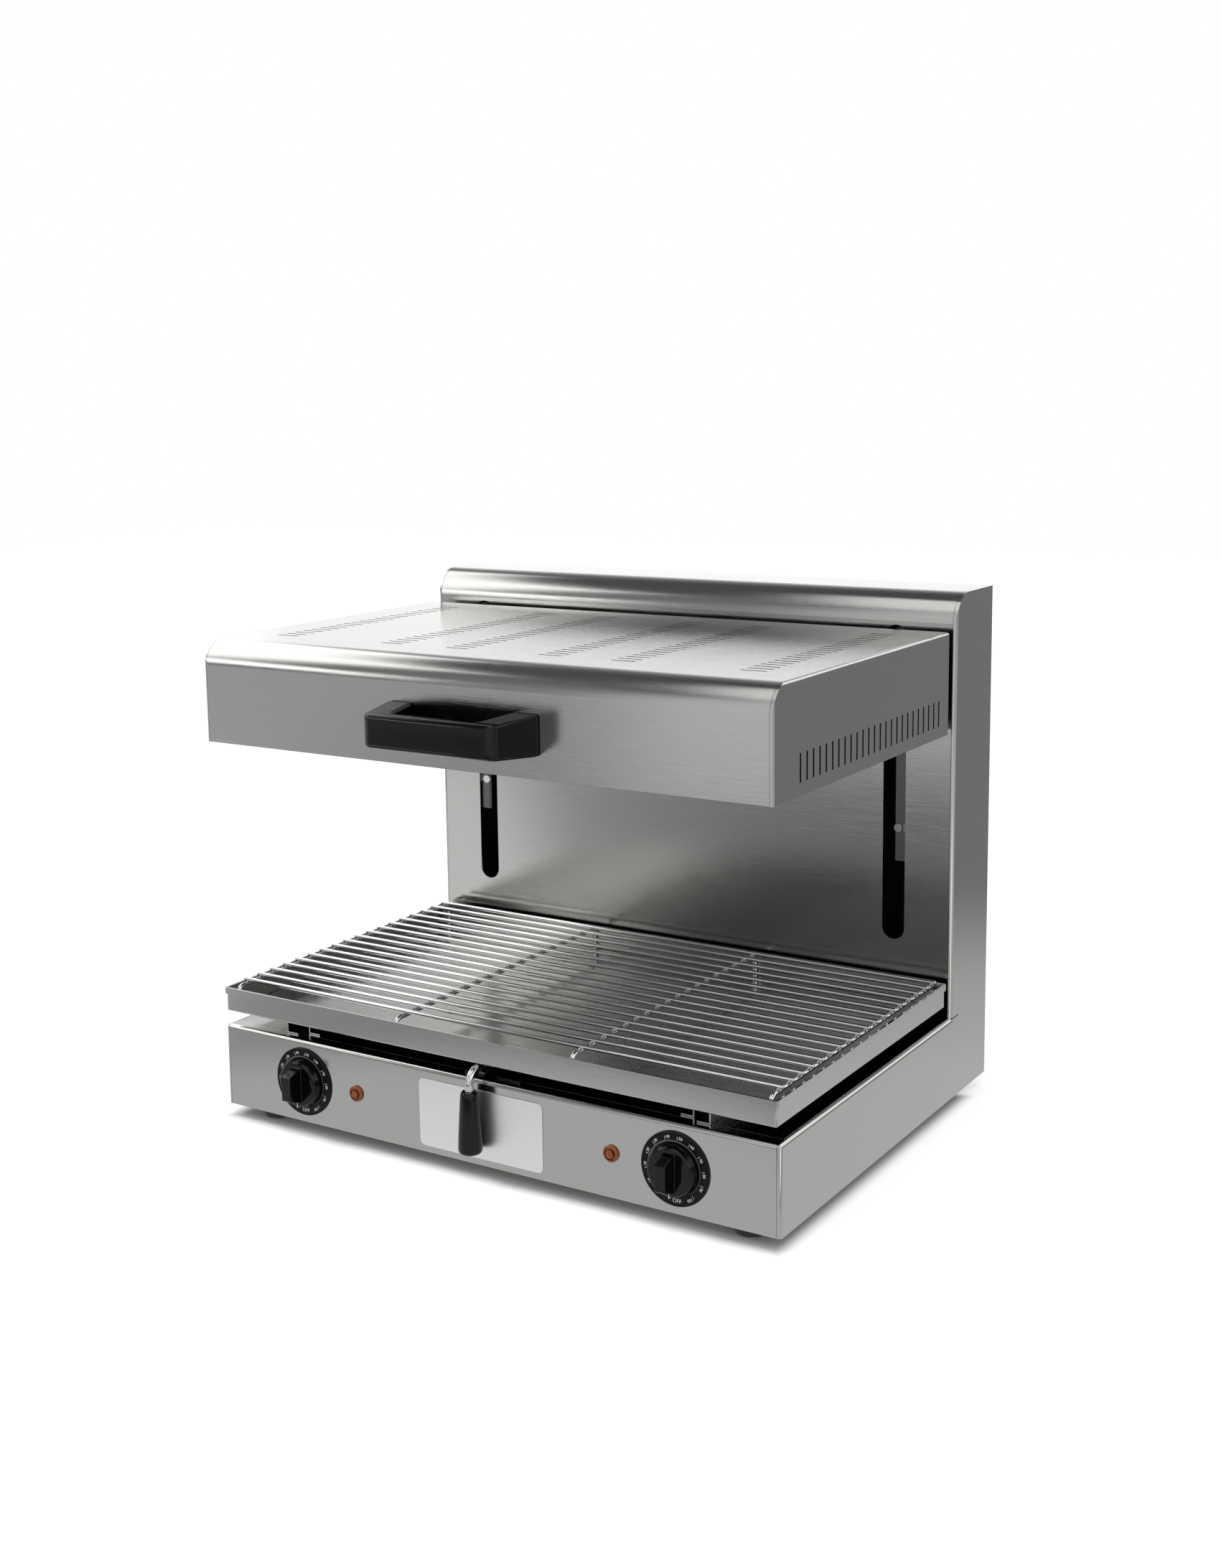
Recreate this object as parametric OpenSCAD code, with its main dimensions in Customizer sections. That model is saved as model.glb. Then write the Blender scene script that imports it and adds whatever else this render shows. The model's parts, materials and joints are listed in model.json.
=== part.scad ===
// Countertop salamander grill with a counterbalanced lift hood.
// Lengths in millimetres. Z points up, the front faces -Y, X runs from left to right.
// Inside the modules Y = 0 is the front face of the base and Z = 0 its underside.

/* [Cabinet] */
// Width over the side panels
body_w = 600; // [560:5:680]
// Depth of the base, front to back
body_d = 450; // [440:5:520]
// Height of the base, without the feet
base_h = 80; // [76:1:100]
// Height of the column top above the underside of the base
column_h = 490; // [480:5:560]
// Depth of the column
column_d = 90; // [88:1:110]
// Thickness of the outer sheets
sheet = 1.2; // [1:0.1:1.6]
// Outer radius of the folded edges
fold_r = 4; // [3:0.5:6]
// Radius of the front top edge of the column
column_r = 28; // [22:1:30]
// Clearance between two sheets that meet
seam = 0.3; // [0.2:0.1:0.5]
// Depth of the returns along the sides of the column's front sheet
column_return = 8; // [5:1:9]

/* [Feet] */
// Height of a foot
foot_h = 12; // [8:1:30]
// Radius of a foot at the floor
foot_r = 15; // [12:1:18]
// Distance of a foot's centre from the side of the base
foot_inset_x = 41; // [30:1:60]
// Distance of a foot's centre from the front or the back
foot_inset_y = 27; // [22:1:50]

/* [Hood] */
// Distance of the hood's sides from the sides of the cabinet
hood_inset = 2; // [1:0.5:6]
// Reach of the hood in front of the base
hood_overhang = 10; // [0:1:20]
// Gap between the back of the hood and the column
hood_gap = 14; // [10:1:20]
// Height of the hood
hood_h = 96; // [90:1:110]
// Distance of the hood's top below the column's top, raised
hood_drop = 34; // [32:1:44]
// Radius of the hood's front top edge
hood_r = 24; // [16:1:30]
// Radius of the hood's side edges
hood_fold_r = 3; // [2:0.5:4]
// Travel of the hood, down from its raised place
hood_travel = 210; // [150:5:212]

/* [Hood vents] */
// Width of a vent slot
vent_w = 2.7; // [1.6:0.1:3]
// Length of a vent slot
vent_len = 24; // [16:1:30]
// Pitch of the vent slots in the sides
side_pitch = 11.9; // [8:0.1:12]
// Pitch of the vent slots on the top
top_pitch = 12.1; // [8:0.1:13]
// Number of slots in each side
side_vents = 25; // [10:1:25]
// Number of slots in each row on the top
top_vents = 22; // [10:1:22]
// Distance from the middle to the inner row on the top
top_row_inner = 50; // [30:1:70]
// Distance of the outer row from the side of the cabinet
top_row_inset = 52; // [46:1:80]

/* [Hood handle] */
// Width of the handle at the hood
handle_w = 159; // [130:1:180]
// Width of the handle at its front bar
handle_bar_w = 136; // [110:1:150]
// Reach of the handle in front of the hood
handle_reach = 52; // [45:1:60]
// Height of the handle at the hood
handle_h = 36.5; // [30:0.5:40]
// Height of the handle at its front bar
handle_bar_h = 30; // [24:0.5:34]
// Thickness of the front bar
handle_bar_t = 12; // [9:0.5:14]
// Width of an arm of the handle
handle_arm_w = 26; // [18:1:30]

/* [Heaters] */
// Diameter of the tubular heater
heater_d = 8; // [6:0.5:9]
// Pitch of the heater's straight runs
heater_pitch = 66; // [50:1:68]
// Number of straight runs in each zone
heater_runs = 4; // [2:2:4]
// Depth of the reflector pan above the hood's lower edge
reflector_h = 62; // [56:1:66]
// Height of the heaters above the hood's lower edge
heater_z = 34; // [30:1:40]

/* [Lift] */
// Distance of the slots in the column from the side of the cabinet
slot_inset = 61; // [59:1:66]
// Width of a slot
slot_w = 23; // [20:1:26]
// Height of the arm that passes through the slot
arm_h = 72; // [60:1:76]
// Thickness of the arm
arm_t = 3; // [2:0.5:4]
// Width of the carriage channel
carriage_w = 48; // [46:1:52]
// Depth of the carriage channel
carriage_d = 32; // [31:1:36]
// Height of the carriage channel
carriage_h = 227; // [200:1:230]
// Thickness of the carriage channel
carriage_t = 2; // [1.5:0.5:3]
// Diameter of a guide rod
rod_d = 12; // [10:1:14]
// Radial running clearance of a bush on its rod
bush_gap = 0.06; // [0.03:0.01:0.09]
// Pitch radius of the cable on its pulley
pulley_r = 22; // [20:1:23]
// Width of a pulley
pulley_w = 9; // [8:0.5:10]
// Diameter of the steel cable
cable_d = 2.5; // [2:0.5:3]
// Height of the counterweight
weight_h = 81.5; // [70:0.5:100]
// Height of the free space under the counterweight's ends
weight_notch = 46; // [40:1:60]
// Depth of the counterweight
weight_d = 28; // [20:1:30]

/* [Controls] */
// Distance of each dial from the side of the cabinet
dial_inset = 98; // [85:1:115]
// Height of the dials and lamps above the underside of the base
dial_z = 40; // [38:1:44]
// Diameter of the dial plate
dial_d = 65.5; // [56:0.5:68]
// Diameter of the knob's skirt
knob_d = 46; // [40:1:50]
// Reach of the knob in front of the panel
knob_reach = 27; // [22:1:32]
// Distance between the middles of a dial and its lamp
lamp_pitch = 63; // [52:1:75]
// Diameter of the lamp's lens
lamp_d = 15; // [12:0.5:18]
// Width of the bare name plate
plate_w = 134; // [100:1:150]
// Height of the bare name plate
plate_h = 63.5; // [50:0.5:66]

/* [Tray and grid] */
// Height of the tray's underside above the top of the base
tray_lift = 14; // [13:0.5:18]
// Height of the tray
tray_h = 23.5; // [20:0.5:26]
// Thickness of the tray's sheet
tray_t = 1; // [0.8:0.1:1.5]
// Height of the hem round the tray's rim
hem_h = 6; // [5:0.5:8]
// Proud width of the hem
hem_w = 1.3; // [1:0.1:2]
// Gap between the tray and the column
tray_gap = 8; // [6:1:14]
// Travel of the tray, out to the front
tray_travel = 300; // [200:10:320]
// Number of rods across the grid
grid_count = 18; // [10:1:20]
// Diameter of a grid rod
grid_rod_d = 4; // [3:0.5:4]
// Diameter of a cross wire of the grid
grid_wire_d = 4.5; // [4:0.5:5]
// Distance of the outer cross wires from the middle
grid_wire_x = 287.5; // [286:0.5:288]
// Diameter of the pull rod
pull_d = 8; // [6:0.5:8]
// Length of the grip on the pull rod
grip_len = 57; // [50:1:58]
// Diameter of the grip at its lower end
grip_d = 22; // [18:0.5:24]

/* [Supply] */
// Radius of the cable inlet in the gland
inlet_r = 5; // [4:0.5:6]
// Reach of the gland behind the cabinet
gland_reach = 14; // [10:1:18]

/* [Hidden] */
$fn = 48;
eps = 0.01;
left = -1;
right = 1;
half_w = body_w / 2;
base_top = base_h;
column_y = body_d - column_d;
inner_front = column_y + sheet;
inner_back = body_d - sheet;
inner_top = column_h - sheet;
sheet_x = half_w - fold_r - seam;
slot_x = half_w - slot_inset;
dial_x = half_w - dial_inset;
lamp_x = dial_x - lamp_pitch;
top_row_outer = half_w - top_row_inset;
top_row_middle = top_row_outer / 2;
front_reach = hood_overhang + handle_reach;
mid_y = (body_d + gland_reach - front_reach) / 2;

hood_w = body_w - 2 * hood_inset;
hood_t = 1;
hood_y0 = -hood_overhang;
hood_y1 = column_y - hood_gap;
hood_z1 = column_h - hood_drop;
hood_z0 = hood_z1 - hood_h;
vent_y0 = 37.5;
vent_low = 11;
lip_w = 8;
back_lip_w = 12;

arm_z = hood_z0 + (hood_h - arm_h) / 2 + 2;
slot_over = 12.5;
slot_z1 = arm_z + arm_h + slot_over;
slot_z0 = arm_z - hood_travel - slot_over;
carriage_gap = 2;
carriage_x = slot_x - 1.4;
carriage_y = inner_front + carriage_gap;
carriage_z1 = hood_z1;
carriage_z0 = carriage_z1 - carriage_h;
rod_x = carriage_x + carriage_w * 0.65;
rod_y = carriage_y + 17;
block_h = 36;
block_y1 = carriage_y + 30;
block_low_z = carriage_z0 + 14;
pulley_x = carriage_x + 10.5;
pulley_rim = 3;
pulley_z = column_h - 42;
block_top_z = pulley_z - pulley_r - pulley_rim - block_h - 9;
axle_r = 4;
fork_t = 2;
fork_gap = 0.5;
weight_y = rod_y + 2 * pulley_r;
weight_x = rod_x + 2;
lower_plate_z = 12;
upper_plate_z = column_h - 14;
plate_t = 2;
buffer_h = 4;
weight_z = lower_plate_z + buffer_h + seam;
weight_rod_d = 8;
weight_mid_x = half_w - 140;
weight_rod_x = weight_mid_x - 20;
buffer_x = weight_rod_x - 50;
bolt_z = carriage_z0 + 32.6;
bolt_x = carriage_x + 4.9;
bolt_r = 2.4;

pan_x = hood_w / 2 - hood_t - lip_w;
pan_y0 = hood_y0 + hood_t + lip_w;
pan_y1 = hood_y1 - hood_t - 16;
pan_z = hood_z0 + reflector_h;
zone_x = heater_pitch * (heater_runs - 1) / 2 + heater_pitch * 0.62;
run_y0 = pan_y0 + heater_pitch / 2 + 22;
run_y1 = pan_y1 - heater_pitch / 2 - 22;
heat_z = hood_z0 + heater_z;
mat_t = 16;

tray_w = body_w - 4;
tray_y0 = -2;
tray_y1 = column_y - tray_gap;
tray_z0 = base_top + tray_lift;
tray_z1 = tray_z0 + tray_h;
tray_floor = tray_z0 + tray_t;
wall_x = tray_w / 2 - hem_w;
wall_y0 = tray_y0 + hem_w;
wall_y1 = tray_y1 - hem_w;
runner_t = 1.2;
runner_outer_x = half_w - 70;
runner_inner_x = runner_outer_x - 20;
runner_foot = 13;
leg_r = 6.5;
rod_front_inset = 13.8;
rod_rear_inset = 6.4;
wire_y0 = wall_y0 + tray_t + grid_wire_d / 2 + 4.4;
wire_y1 = wall_y1 - tray_t - grid_wire_d / 2 - 1.4;
grid_z = tray_z1 + 3.5;
wire_z = grid_z - grid_rod_d / 2 - grid_wire_d / 2 + 0.4;
grid_rod_len = 2 * grid_wire_x + 9;
grid_y0 = wire_y0 + rod_front_inset;
grid_y1 = wire_y1 - rod_rear_inset;
grid_pitch = (grid_y1 - grid_y0) / (grid_count - 1);
pull_y = -13;
pull_bend = 12;
pull_z = tray_z0 - pull_d / 2;
grip_z1 = base_h - 7;

shaft_r = 3;
shaft_gap = 0.05;
dial_t = 2;
knob_y = -dial_t - 0.5;
skirt_t = 9;

// ---------- helpers ----------

// Moves a piece from the base's own frame to the part's frame
module placed() {
    translate([0, -mid_y, foot_h]) children();
}

// Extrudes a (Y, Z) outline along X
module along_x(x0, x1) {
    translate([x0, 0, 0]) rotate([90, 0, 90]) linear_extrude(x1 - x0) children();
}

// Extrudes an (X, Z) outline along Y
module along_y(y0, y1) {
    translate([0, y1, 0]) rotate([90, 0, 0]) linear_extrude(y1 - y0) children();
}

// Extrudes an (X, Y) outline along Z
module along_z(z0, z1) {
    translate([0, 0, z0]) linear_extrude(z1 - z0) children();
}

// Box from its low corner to its high corner
module block(a, b) {
    translate(a) cube(b - a);
}

// Rectangle whose upper corners, or only the left one, are rounded
module arch(a, b, r, both = true) {
    difference() {
        translate(a) square(b - a);
        translate([a[0], b[1]]) corner_waste(r);
        if (both) translate(b) mirror([1, 0]) corner_waste(r);
    }
}

// What a radius takes off an upper left corner
module corner_waste(r) {
    difference() {
        translate([-1, -r]) square([r + 1, r + 1]);
        translate([r, -r]) circle(r);
    }
}

// Rectangle with four round corners
module round_rect(w, h, r) {
    square([w - 2 * r, h], center = true);
    square([w, h - 2 * r], center = true);
    for (x = [-1, 1], y = [-1, 1]) translate([x * (w / 2 - r), y * (h / 2 - r)]) circle(r);
}

// Cylinder along Y, from y0 to y1
module rod_y(r, y0, y1) {
    translate([0, y1, 0]) rotate([90, 0, 0]) cylinder(r = r, h = y1 - y0);
}

// Turned shape about an axis along Y; the outline is (radius, distance towards the front)
module turned_y() {
    rotate([90, 0, 0]) rotate_extrude() children();
}

// Children at the left and at the right
module both_sides(x) {
    for (s = [-1, 1]) translate([s * x, 0, 0]) children();
}

// ---------- sheet cabinet ----------

// Solid form of the base, its faces moved inwards by i
module base_form(i, low) {
    r = max(fold_r - i, eps);
    intersection() {
        along_x(-half_w, half_w) arch([i, low], [body_d - i, base_top - i], r, false);
        along_y(-1, body_d + 1) arch([-half_w + i, low], [half_w - i, base_top - i], r);
        along_z(low, base_top) rotate(180)
            arch([-half_w + i, -body_d + i], [half_w - i, -i], r);
    }
}

// Solid form of the column, its faces moved inwards by i
module column_form(i, low) {
    intersection() {
        along_x(-half_w + i, half_w - i)
            arch([column_y + i, low], [body_d - i, column_h - i], column_r - i, false);
        along_z(low, column_h) rotate(180)
            arch([-half_w + i, -body_d + i], [half_w - i, -column_y - i], max(fold_r - i, eps));
    }
}

// The folded outer skin, open underneath and at the back
module cabinet_skin() {
    difference() {
        union() {
            base_form(0, 0);
            column_form(0, 0);
        }
        base_form(sheet, -1);
        column_form(sheet, -1);
        block([-half_w + sheet, body_d - 2 * sheet, -1],
            [half_w - sheet, body_d + 1, column_h - sheet]);
    }
}

module side_panel(side) {
    color([0.72, 0.72, 0.71]) placed() difference() {
        intersection() {
            cabinet_skin();
            translate([side * (half_w - fold_r / 2), body_d / 2, column_h / 2])
                cube([fold_r, body_d + 2, column_h + 2], center = true);
        }
        // relief slit where the base's folded edge ends at the column
        block([side * half_w - fold_r - 1, column_y + 1, base_top - 0.2],
            [side * half_w + fold_r + 1, column_y + 18, base_top + 0.8]);
    }
    // flange that the rear cover is screwed to
    color([0.72, 0.72, 0.71]) placed() mirror([side > 0 ? 0 : 1, 0, 0]) difference() {
        block([half_w - sheet - flange_w, inner_back - seam - sheet, base_top + 4],
            [half_w - sheet, inner_back - seam, upper_plate_z - 44]);
        for (z = cover_screw_z) translate([cover_screw_x, 0, z]) rod_y(2.2, 0, body_d);
    }
}

// Depth of the front panel's return along the top of the base
front_return = fold_r + 10;

module base_front_panel() {
    color([0.72, 0.72, 0.71]) placed() difference() {
        intersection() {
            cabinet_skin();
            block([-sheet_x, -1, 0], [sheet_x, front_return, base_top]);
        }
        both_sides(dial_x) translate([0, 0, dial_z]) rod_y(shaft_r + 1.5, -1, fold_r);
        both_sides(lamp_x) translate([0, 0, dial_z]) rod_y(lamp_d / 2 - 2, -1, fold_r);
    }
}

module base_top_sheet() {
    color([0.62, 0.62, 0.61]) placed() intersection() {
        cabinet_skin();
        block([-sheet_x, front_return, base_top - fold_r], [sheet_x, column_y, base_top]);
    }
}

floor_vent_l = 40;
floor_vent_w = 4;

module base_floor() {
    vent_rows = 5;
    vent_y = body_d * 0.27;
    vent_step = 14;
    color([0.6, 0.6, 0.6]) placed() difference() {
        along_z(0, sheet) translate([0, body_d / 2])
            round_rect(body_w - 2 * (sheet + seam), body_d - 2 * (sheet + seam), fold_r - sheet);
        for (j = [-2:2], i = [0:vent_rows - 1])
            translate([j * half_w / 4, vent_y + vent_step * i, -1]) linear_extrude(sheet + 2)
                round_rect(floor_vent_l, floor_vent_w, floor_vent_w / 2 - 0.1);
        for (s = [-1, 1], y = [foot_inset_y, body_d - foot_inset_y])
            translate([s * (half_w - foot_inset_x), y, -1]) cylinder(r = 2.6, h = sheet + 2);
    }
}

module slot_cut(side) {
    translate([side * slot_x, 0, 0]) {
        translate([0, 0, slot_z0 + slot_w / 2]) rod_y(slot_w / 2, column_y - 1, inner_front + 1);
        translate([0, 0, slot_z1 - slot_w / 2]) rod_y(slot_w / 2, column_y - 1, inner_front + 1);
        block([-slot_w / 2, column_y - 1, slot_z0 + slot_w / 2],
            [slot_w / 2, inner_front + 1, slot_z1 - slot_w / 2]);
    }
}

module column_front_sheet() {
    color([0.72, 0.72, 0.71]) placed() difference() {
        union() {
            intersection() {
                cabinet_skin();
                block([-sheet_x, column_y, base_top - sheet], [sheet_x, body_d, column_h]);
            }
            for (s = [-1, 1])
                block([min(s * sheet_x, s * (sheet_x - sheet)), inner_front - sheet / 2, base_top + 2],
                    [max(s * sheet_x, s * (sheet_x - sheet)), inner_front + column_return,
                        column_h - column_r - 2]);
        }
        block([-half_w, column_y - 1, base_top - sheet - 1],
            [half_w, column_y + eps, base_top]);
        slot_cut(left);
        slot_cut(right);
    }
}

gland_x = -half_w + 100;
gland_z = 38;
gland_hole_r = inlet_r + 4;

module rear_base_panel() {
    color([0.6, 0.6, 0.6]) placed() difference() {
        block([-half_w + sheet + seam, inner_back, sheet + seam],
            [half_w - sheet - seam, body_d, base_top - seam]);
        translate([gland_x, 0, gland_z]) rod_y(gland_hole_r, inner_back - 1, body_d + 1);
    }
}

flange_w = 18;
cover_screw_x = half_w - sheet - 10;
cover_screw_z = [base_top + 14, (base_top + column_h) / 2 - 20, column_h - 76];

module at_cover_screws() {
    for (s = [-1, 1], z = cover_screw_z) translate([s * cover_screw_x, 0, z]) children();
}

module rear_cover() {
    vent_step = 20;
    vent_w = 4;
    vent_l = 34;
    vents = floor((half_w - 110) / vent_step);
    color([0.66, 0.66, 0.65]) placed() difference() {
        block([-half_w + sheet + seam, inner_back, base_top + seam],
            [half_w - sheet - seam, body_d, inner_top - seam]);
        at_cover_screws() rod_y(2.2, inner_back - 1, body_d + 1);
        for (z = [base_top + 30, column_h - 60], i = [-vents:vents])
            translate([i * vent_step, 0, z]) along_y(inner_back - 1, body_d + 1)
                round_rect(vent_w, vent_l, vent_w / 2 - 0.1);
    }
}

module cover_screws() {
    head_r = 4;
    color([0.75, 0.75, 0.74]) placed() at_cover_screws() translate([0, body_d, 0])
        rotate([180, 0, 0]) turned_y()
            polygon([[0, 0], [head_r, 0], [head_r, 0.9], [head_r - 1, 1.9], [0, 2.2]]);
    color([0.75, 0.75, 0.74]) placed() at_cover_screws() rod_y(2, inner_back - 6, body_d);
}

module feet() {
    color([0.06, 0.06, 0.06]) placed()
        for (s = [-1, 1], y = [foot_inset_y, body_d - foot_inset_y])
            translate([s * (half_w - foot_inset_x), y, -foot_h]) rotate_extrude()
                polygon([[0, 3], [5, 3], [5, 0], [foot_r - 2, 0], [foot_r - 0.6, 0.6],
                    [foot_r, 2], [foot_r + 1, foot_h], [0, foot_h]]);
}

// ---------- controls ----------

module dial_plate(side) {
    bore_r = shaft_r + 2;
    color([0.05, 0.05, 0.05]) placed() translate([side * dial_x, 0, dial_z]) turned_y()
        polygon([[bore_r, 0], [dial_d / 2, 0], [dial_d / 2, dial_t - 0.6],
            [dial_d / 2 - 0.6, dial_t], [bore_r, dial_t]]);
}

module knob(side) {
    grip_w = 10.5;
    grip_top = 24;
    grip_foot = 34;
    color([0.05, 0.05, 0.05]) placed() translate([side * dial_x, knob_y, dial_z]) {
        difference() {
            union() {
                turned_y() polygon([[0, 0], [knob_d / 2, 0], [knob_d / 2, 3],
                    [knob_d / 2 - 1.5, skirt_t - 1], [knob_d / 2 - 3, skirt_t], [0, skirt_t]]);
                along_x(-grip_w / 2, grip_w / 2) polygon([[0, -grip_foot / 2],
                    [0, grip_foot / 2], [-skirt_t, grip_foot / 2],
                    [-knob_reach - knob_y + 1, grip_top / 2], [-knob_reach - knob_y, grip_top / 2 - 1],
                    [-knob_reach - knob_y, -grip_top / 2 + 1],
                    [-knob_reach - knob_y + 1, -grip_top / 2], [-skirt_t, -grip_foot / 2]]);
            }
            rod_y(shaft_r, -skirt_t + 1, 1);
        }
    }
}

module spindle(side) {
    color([0.7, 0.7, 0.68]) placed() translate([side * dial_x, 0, dial_z])
        rod_y(shaft_r, knob_y - skirt_t + 1.2, 22);
}

module regulator(side) {
    case_w = 46;
    case_d = 30;
    neck = 6;
    color([0.85, 0.84, 0.8]) placed() translate([side * dial_x, sheet, dial_z]) difference() {
        union() {
            block([-case_w / 2, neck, -case_w / 2 + 4], [case_w / 2, neck + case_d, case_w / 2 - 4]);
            rod_y(shaft_r + 5, 0, neck);
            for (x = [-14, 0, 14]) block([x - 3, neck + case_d, 4], [x + 3, neck + case_d + 8, 4.8]);
        }
        rod_y(shaft_r + shaft_gap, -1, 24);
    }
}

module pilot_lamp(side) {
    lens_r = lamp_d / 2;
    color([0.85, 0.4, 0.08]) placed() translate([side * lamp_x, 0, dial_z]) {
        turned_y() polygon([[0, 0], [lens_r, 0], [lens_r, 1.6], [lens_r - 0.8, 2.4],
            [lens_r - 2, 2.4], [lens_r - 2.4, 1.6], [lens_r - 3.4, 1.6], [lens_r - 3.8, 3.4],
            [lens_r - 5, 4], [0, 4.2]]);
        rod_y(lens_r - 2.2, 0, 22);
    }
}

module name_plate() {
    edge_r = 5.5;
    plate_x = 2;
    color([0.9, 0.9, 0.91]) placed() translate([plate_x, 0, dial_z - 1.7]) along_y(-1, 0)
        round_rect(plate_w, plate_h, edge_r);
}

// ---------- supply ----------

terminal_w = 72;
terminal_d = 22;
terminal_h = 20;
terminal_step = terminal_w / 5.33;

module terminal_block() {
    color([0.9, 0.89, 0.85]) placed() translate([gland_x + terminal_w, body_d * 2 / 3, sheet]) {
        difference() {
            block([-terminal_w / 2, -terminal_d / 2, 0], [terminal_w / 2, terminal_d / 2, terminal_h]);
            for (i = [-2:2]) translate([i * terminal_step, 0, terminal_h * 0.4])
                cylinder(d = terminal_step * 0.45, h = terminal_h);
            for (i = [-1.5:1.5]) translate([i * terminal_step, 0, terminal_h])
                cube([terminal_step * 0.08, terminal_d + 2, terminal_h * 0.6], center = true);
        }
    }
}

module cable_gland() {
    flange_r = gland_hole_r + 3;
    nut_r = gland_hole_r + 4;
    inside = 12;
    color([0.08, 0.08, 0.08]) placed() translate([gland_x, body_d, gland_z])
        rotate([180, 0, 0]) difference() {
            union() {
                turned_y() polygon([[0, 0], [flange_r, 0], [flange_r, 3],
                    [flange_r - 1, 4], [gland_hole_r + 1, 4], [gland_hole_r + 1, gland_reach - 3],
                    [gland_hole_r - 1, gland_reach], [0, gland_reach]]);
                rod_y(gland_hole_r - 0.1, 0, inside);
                rod_y(nut_r, sheet, sheet + 5);
            }
            rod_y(inlet_r, -gland_reach - 1, inside + 1);
        }
}

// ---------- lift: fixed pieces ----------

module guide_rods() {
    color([0.8, 0.8, 0.8]) placed() both_sides(rod_x)
        translate([0, rod_y, lower_plate_z - 6]) cylinder(d = rod_d, h = upper_plate_z + plate_t + 5 - lower_plate_z);
}

// Folded plate across the column that seats the lower ends of the rods
module lower_bracket() {
    w = half_w - sheet - 6;
    y0 = inner_front + 4;
    y1 = inner_back - 6;
    color([0.66, 0.66, 0.66]) placed() difference() {
        union() {
            block([-w, y0, lower_plate_z - plate_t], [w, y1, lower_plate_z]);
            block([-w, y0, sheet], [w, y0 + plate_t, lower_plate_z]);
            block([-w, y1 - plate_t, sheet], [w, y1, lower_plate_z]);
        }
        both_sides(rod_x) translate([0, rod_y, 0]) cylinder(d = rod_d, h = lower_plate_z + 1);
        both_sides(weight_rod_x) translate([0, weight_y, 0])
            cylinder(d = weight_rod_d, h = lower_plate_z + 1);
    }
}

module upper_bracket() {
    w = half_w - sheet - seam;
    y0 = rod_y - rod_d / 2 - 3;
    y1 = inner_back - 2;
    color([0.66, 0.66, 0.66]) placed() difference() {
        union() {
            block([-w, y0, upper_plate_z], [w, y1, upper_plate_z + plate_t]);
            for (s = [-1, 1]) block([min(s * w, s * (w - plate_t)), y0, upper_plate_z - 40],
                [max(s * w, s * (w - plate_t)), y1, upper_plate_z]);
        }
        both_sides(rod_x) translate([0, rod_y, upper_plate_z - 1])
            cylinder(d = rod_d, h = plate_t + 2);
        both_sides(weight_rod_x) translate([0, weight_y, upper_plate_z - 1])
            cylinder(d = weight_rod_d, h = plate_t + 2);
    }
}

// Fork that hangs the pulley's axle from the upper bracket
module pulley_forks() {
    cheek_in = pulley_w / 2 + fork_gap;
    cheek_y0 = rod_y + pulley_r - 12;
    cheek_y1 = rod_y + pulley_r + 12;
    color([0.7, 0.7, 0.7]) placed() for (s = [-1, 1]) translate([s * pulley_x, 0, 0]) {
        for (c = [-1, 1]) translate([c * (cheek_in + fork_t / 2), 0, 0])
            block([-fork_t / 2, cheek_y0, pulley_z - 9], [fork_t / 2, cheek_y1, upper_plate_z]);
        translate([0, rod_y + pulley_r, pulley_z]) rotate([0, 90, 0])
            cylinder(r = axle_r, h = 2 * (cheek_in + fork_t) + 3, center = true);
    }
}

module pulley(side) {
    groove_r = pulley_r - cable_d / 2 - seam;
    rim_r = pulley_r + pulley_rim;
    half = pulley_w / 2;
    groove = cable_d / 2 + 0.5;
    color([0.85, 0.83, 0.76]) placed() translate([side * pulley_x, rod_y + pulley_r, pulley_z])
        rotate([0, 90, 0]) rotate_extrude()
            polygon([[axle_r + bush_gap, -half], [rim_r, -half], [rim_r, -half + 1],
                [groove_r + 1, -groove], [groove_r, -groove + 0.6], [groove_r, groove - 0.6],
                [groove_r + 1, groove], [rim_r, half - 1], [rim_r, half],
                [axle_r + bush_gap, half]]);
}

// The half turn of each cable over its pulley
module cable_wraps() {
    color([0.45, 0.45, 0.46]) placed() both_sides(pulley_x)
        translate([0, rod_y + pulley_r, pulley_z]) rotate([0, 90, 0]) rotate([0, 0, 90])
            rotate_extrude(angle = 180) translate([pulley_r, 0]) circle(d = cable_d, $fn = 24);
}

module weight_guide_rods() {
    color([0.8, 0.8, 0.8]) placed() both_sides(weight_rod_x) translate([0, weight_y, lower_plate_z - 6])
        cylinder(d = weight_rod_d, h = upper_plate_z + plate_t + 5 - lower_plate_z);
}

module weight_buffers() {
    color([0.08, 0.08, 0.08]) placed() both_sides(buffer_x)
        translate([0, weight_y, lower_plate_z]) cylinder(r1 = 9, r2 = 7, h = buffer_h);
}

// ---------- lift: counterweight ----------

module counterweight() {
    color([0.3, 0.3, 0.31]) placed() difference() {
        union() {
            block([-weight_x, weight_y - weight_d / 2, weight_z + weight_notch],
                [weight_x, weight_y + weight_d / 2, weight_z + weight_h]);
            block([-weight_mid_x, weight_y - weight_d / 2, weight_z],
                [weight_mid_x, weight_y + weight_d / 2, weight_z + weight_h]);
        }
        both_sides(weight_rod_x) translate([0, weight_y, weight_z - 1])
            cylinder(r = weight_rod_d / 2 + bush_gap, h = weight_h + 2);
    }
}

// Runs of the cables between the pulleys and the counterweight
module weight_cables() {
    color([0.45, 0.45, 0.46]) placed() both_sides(pulley_x)
        translate([0, weight_y, weight_z + weight_h])
            cylinder(d = cable_d, h = pulley_z - weight_z - weight_h);
}

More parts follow.
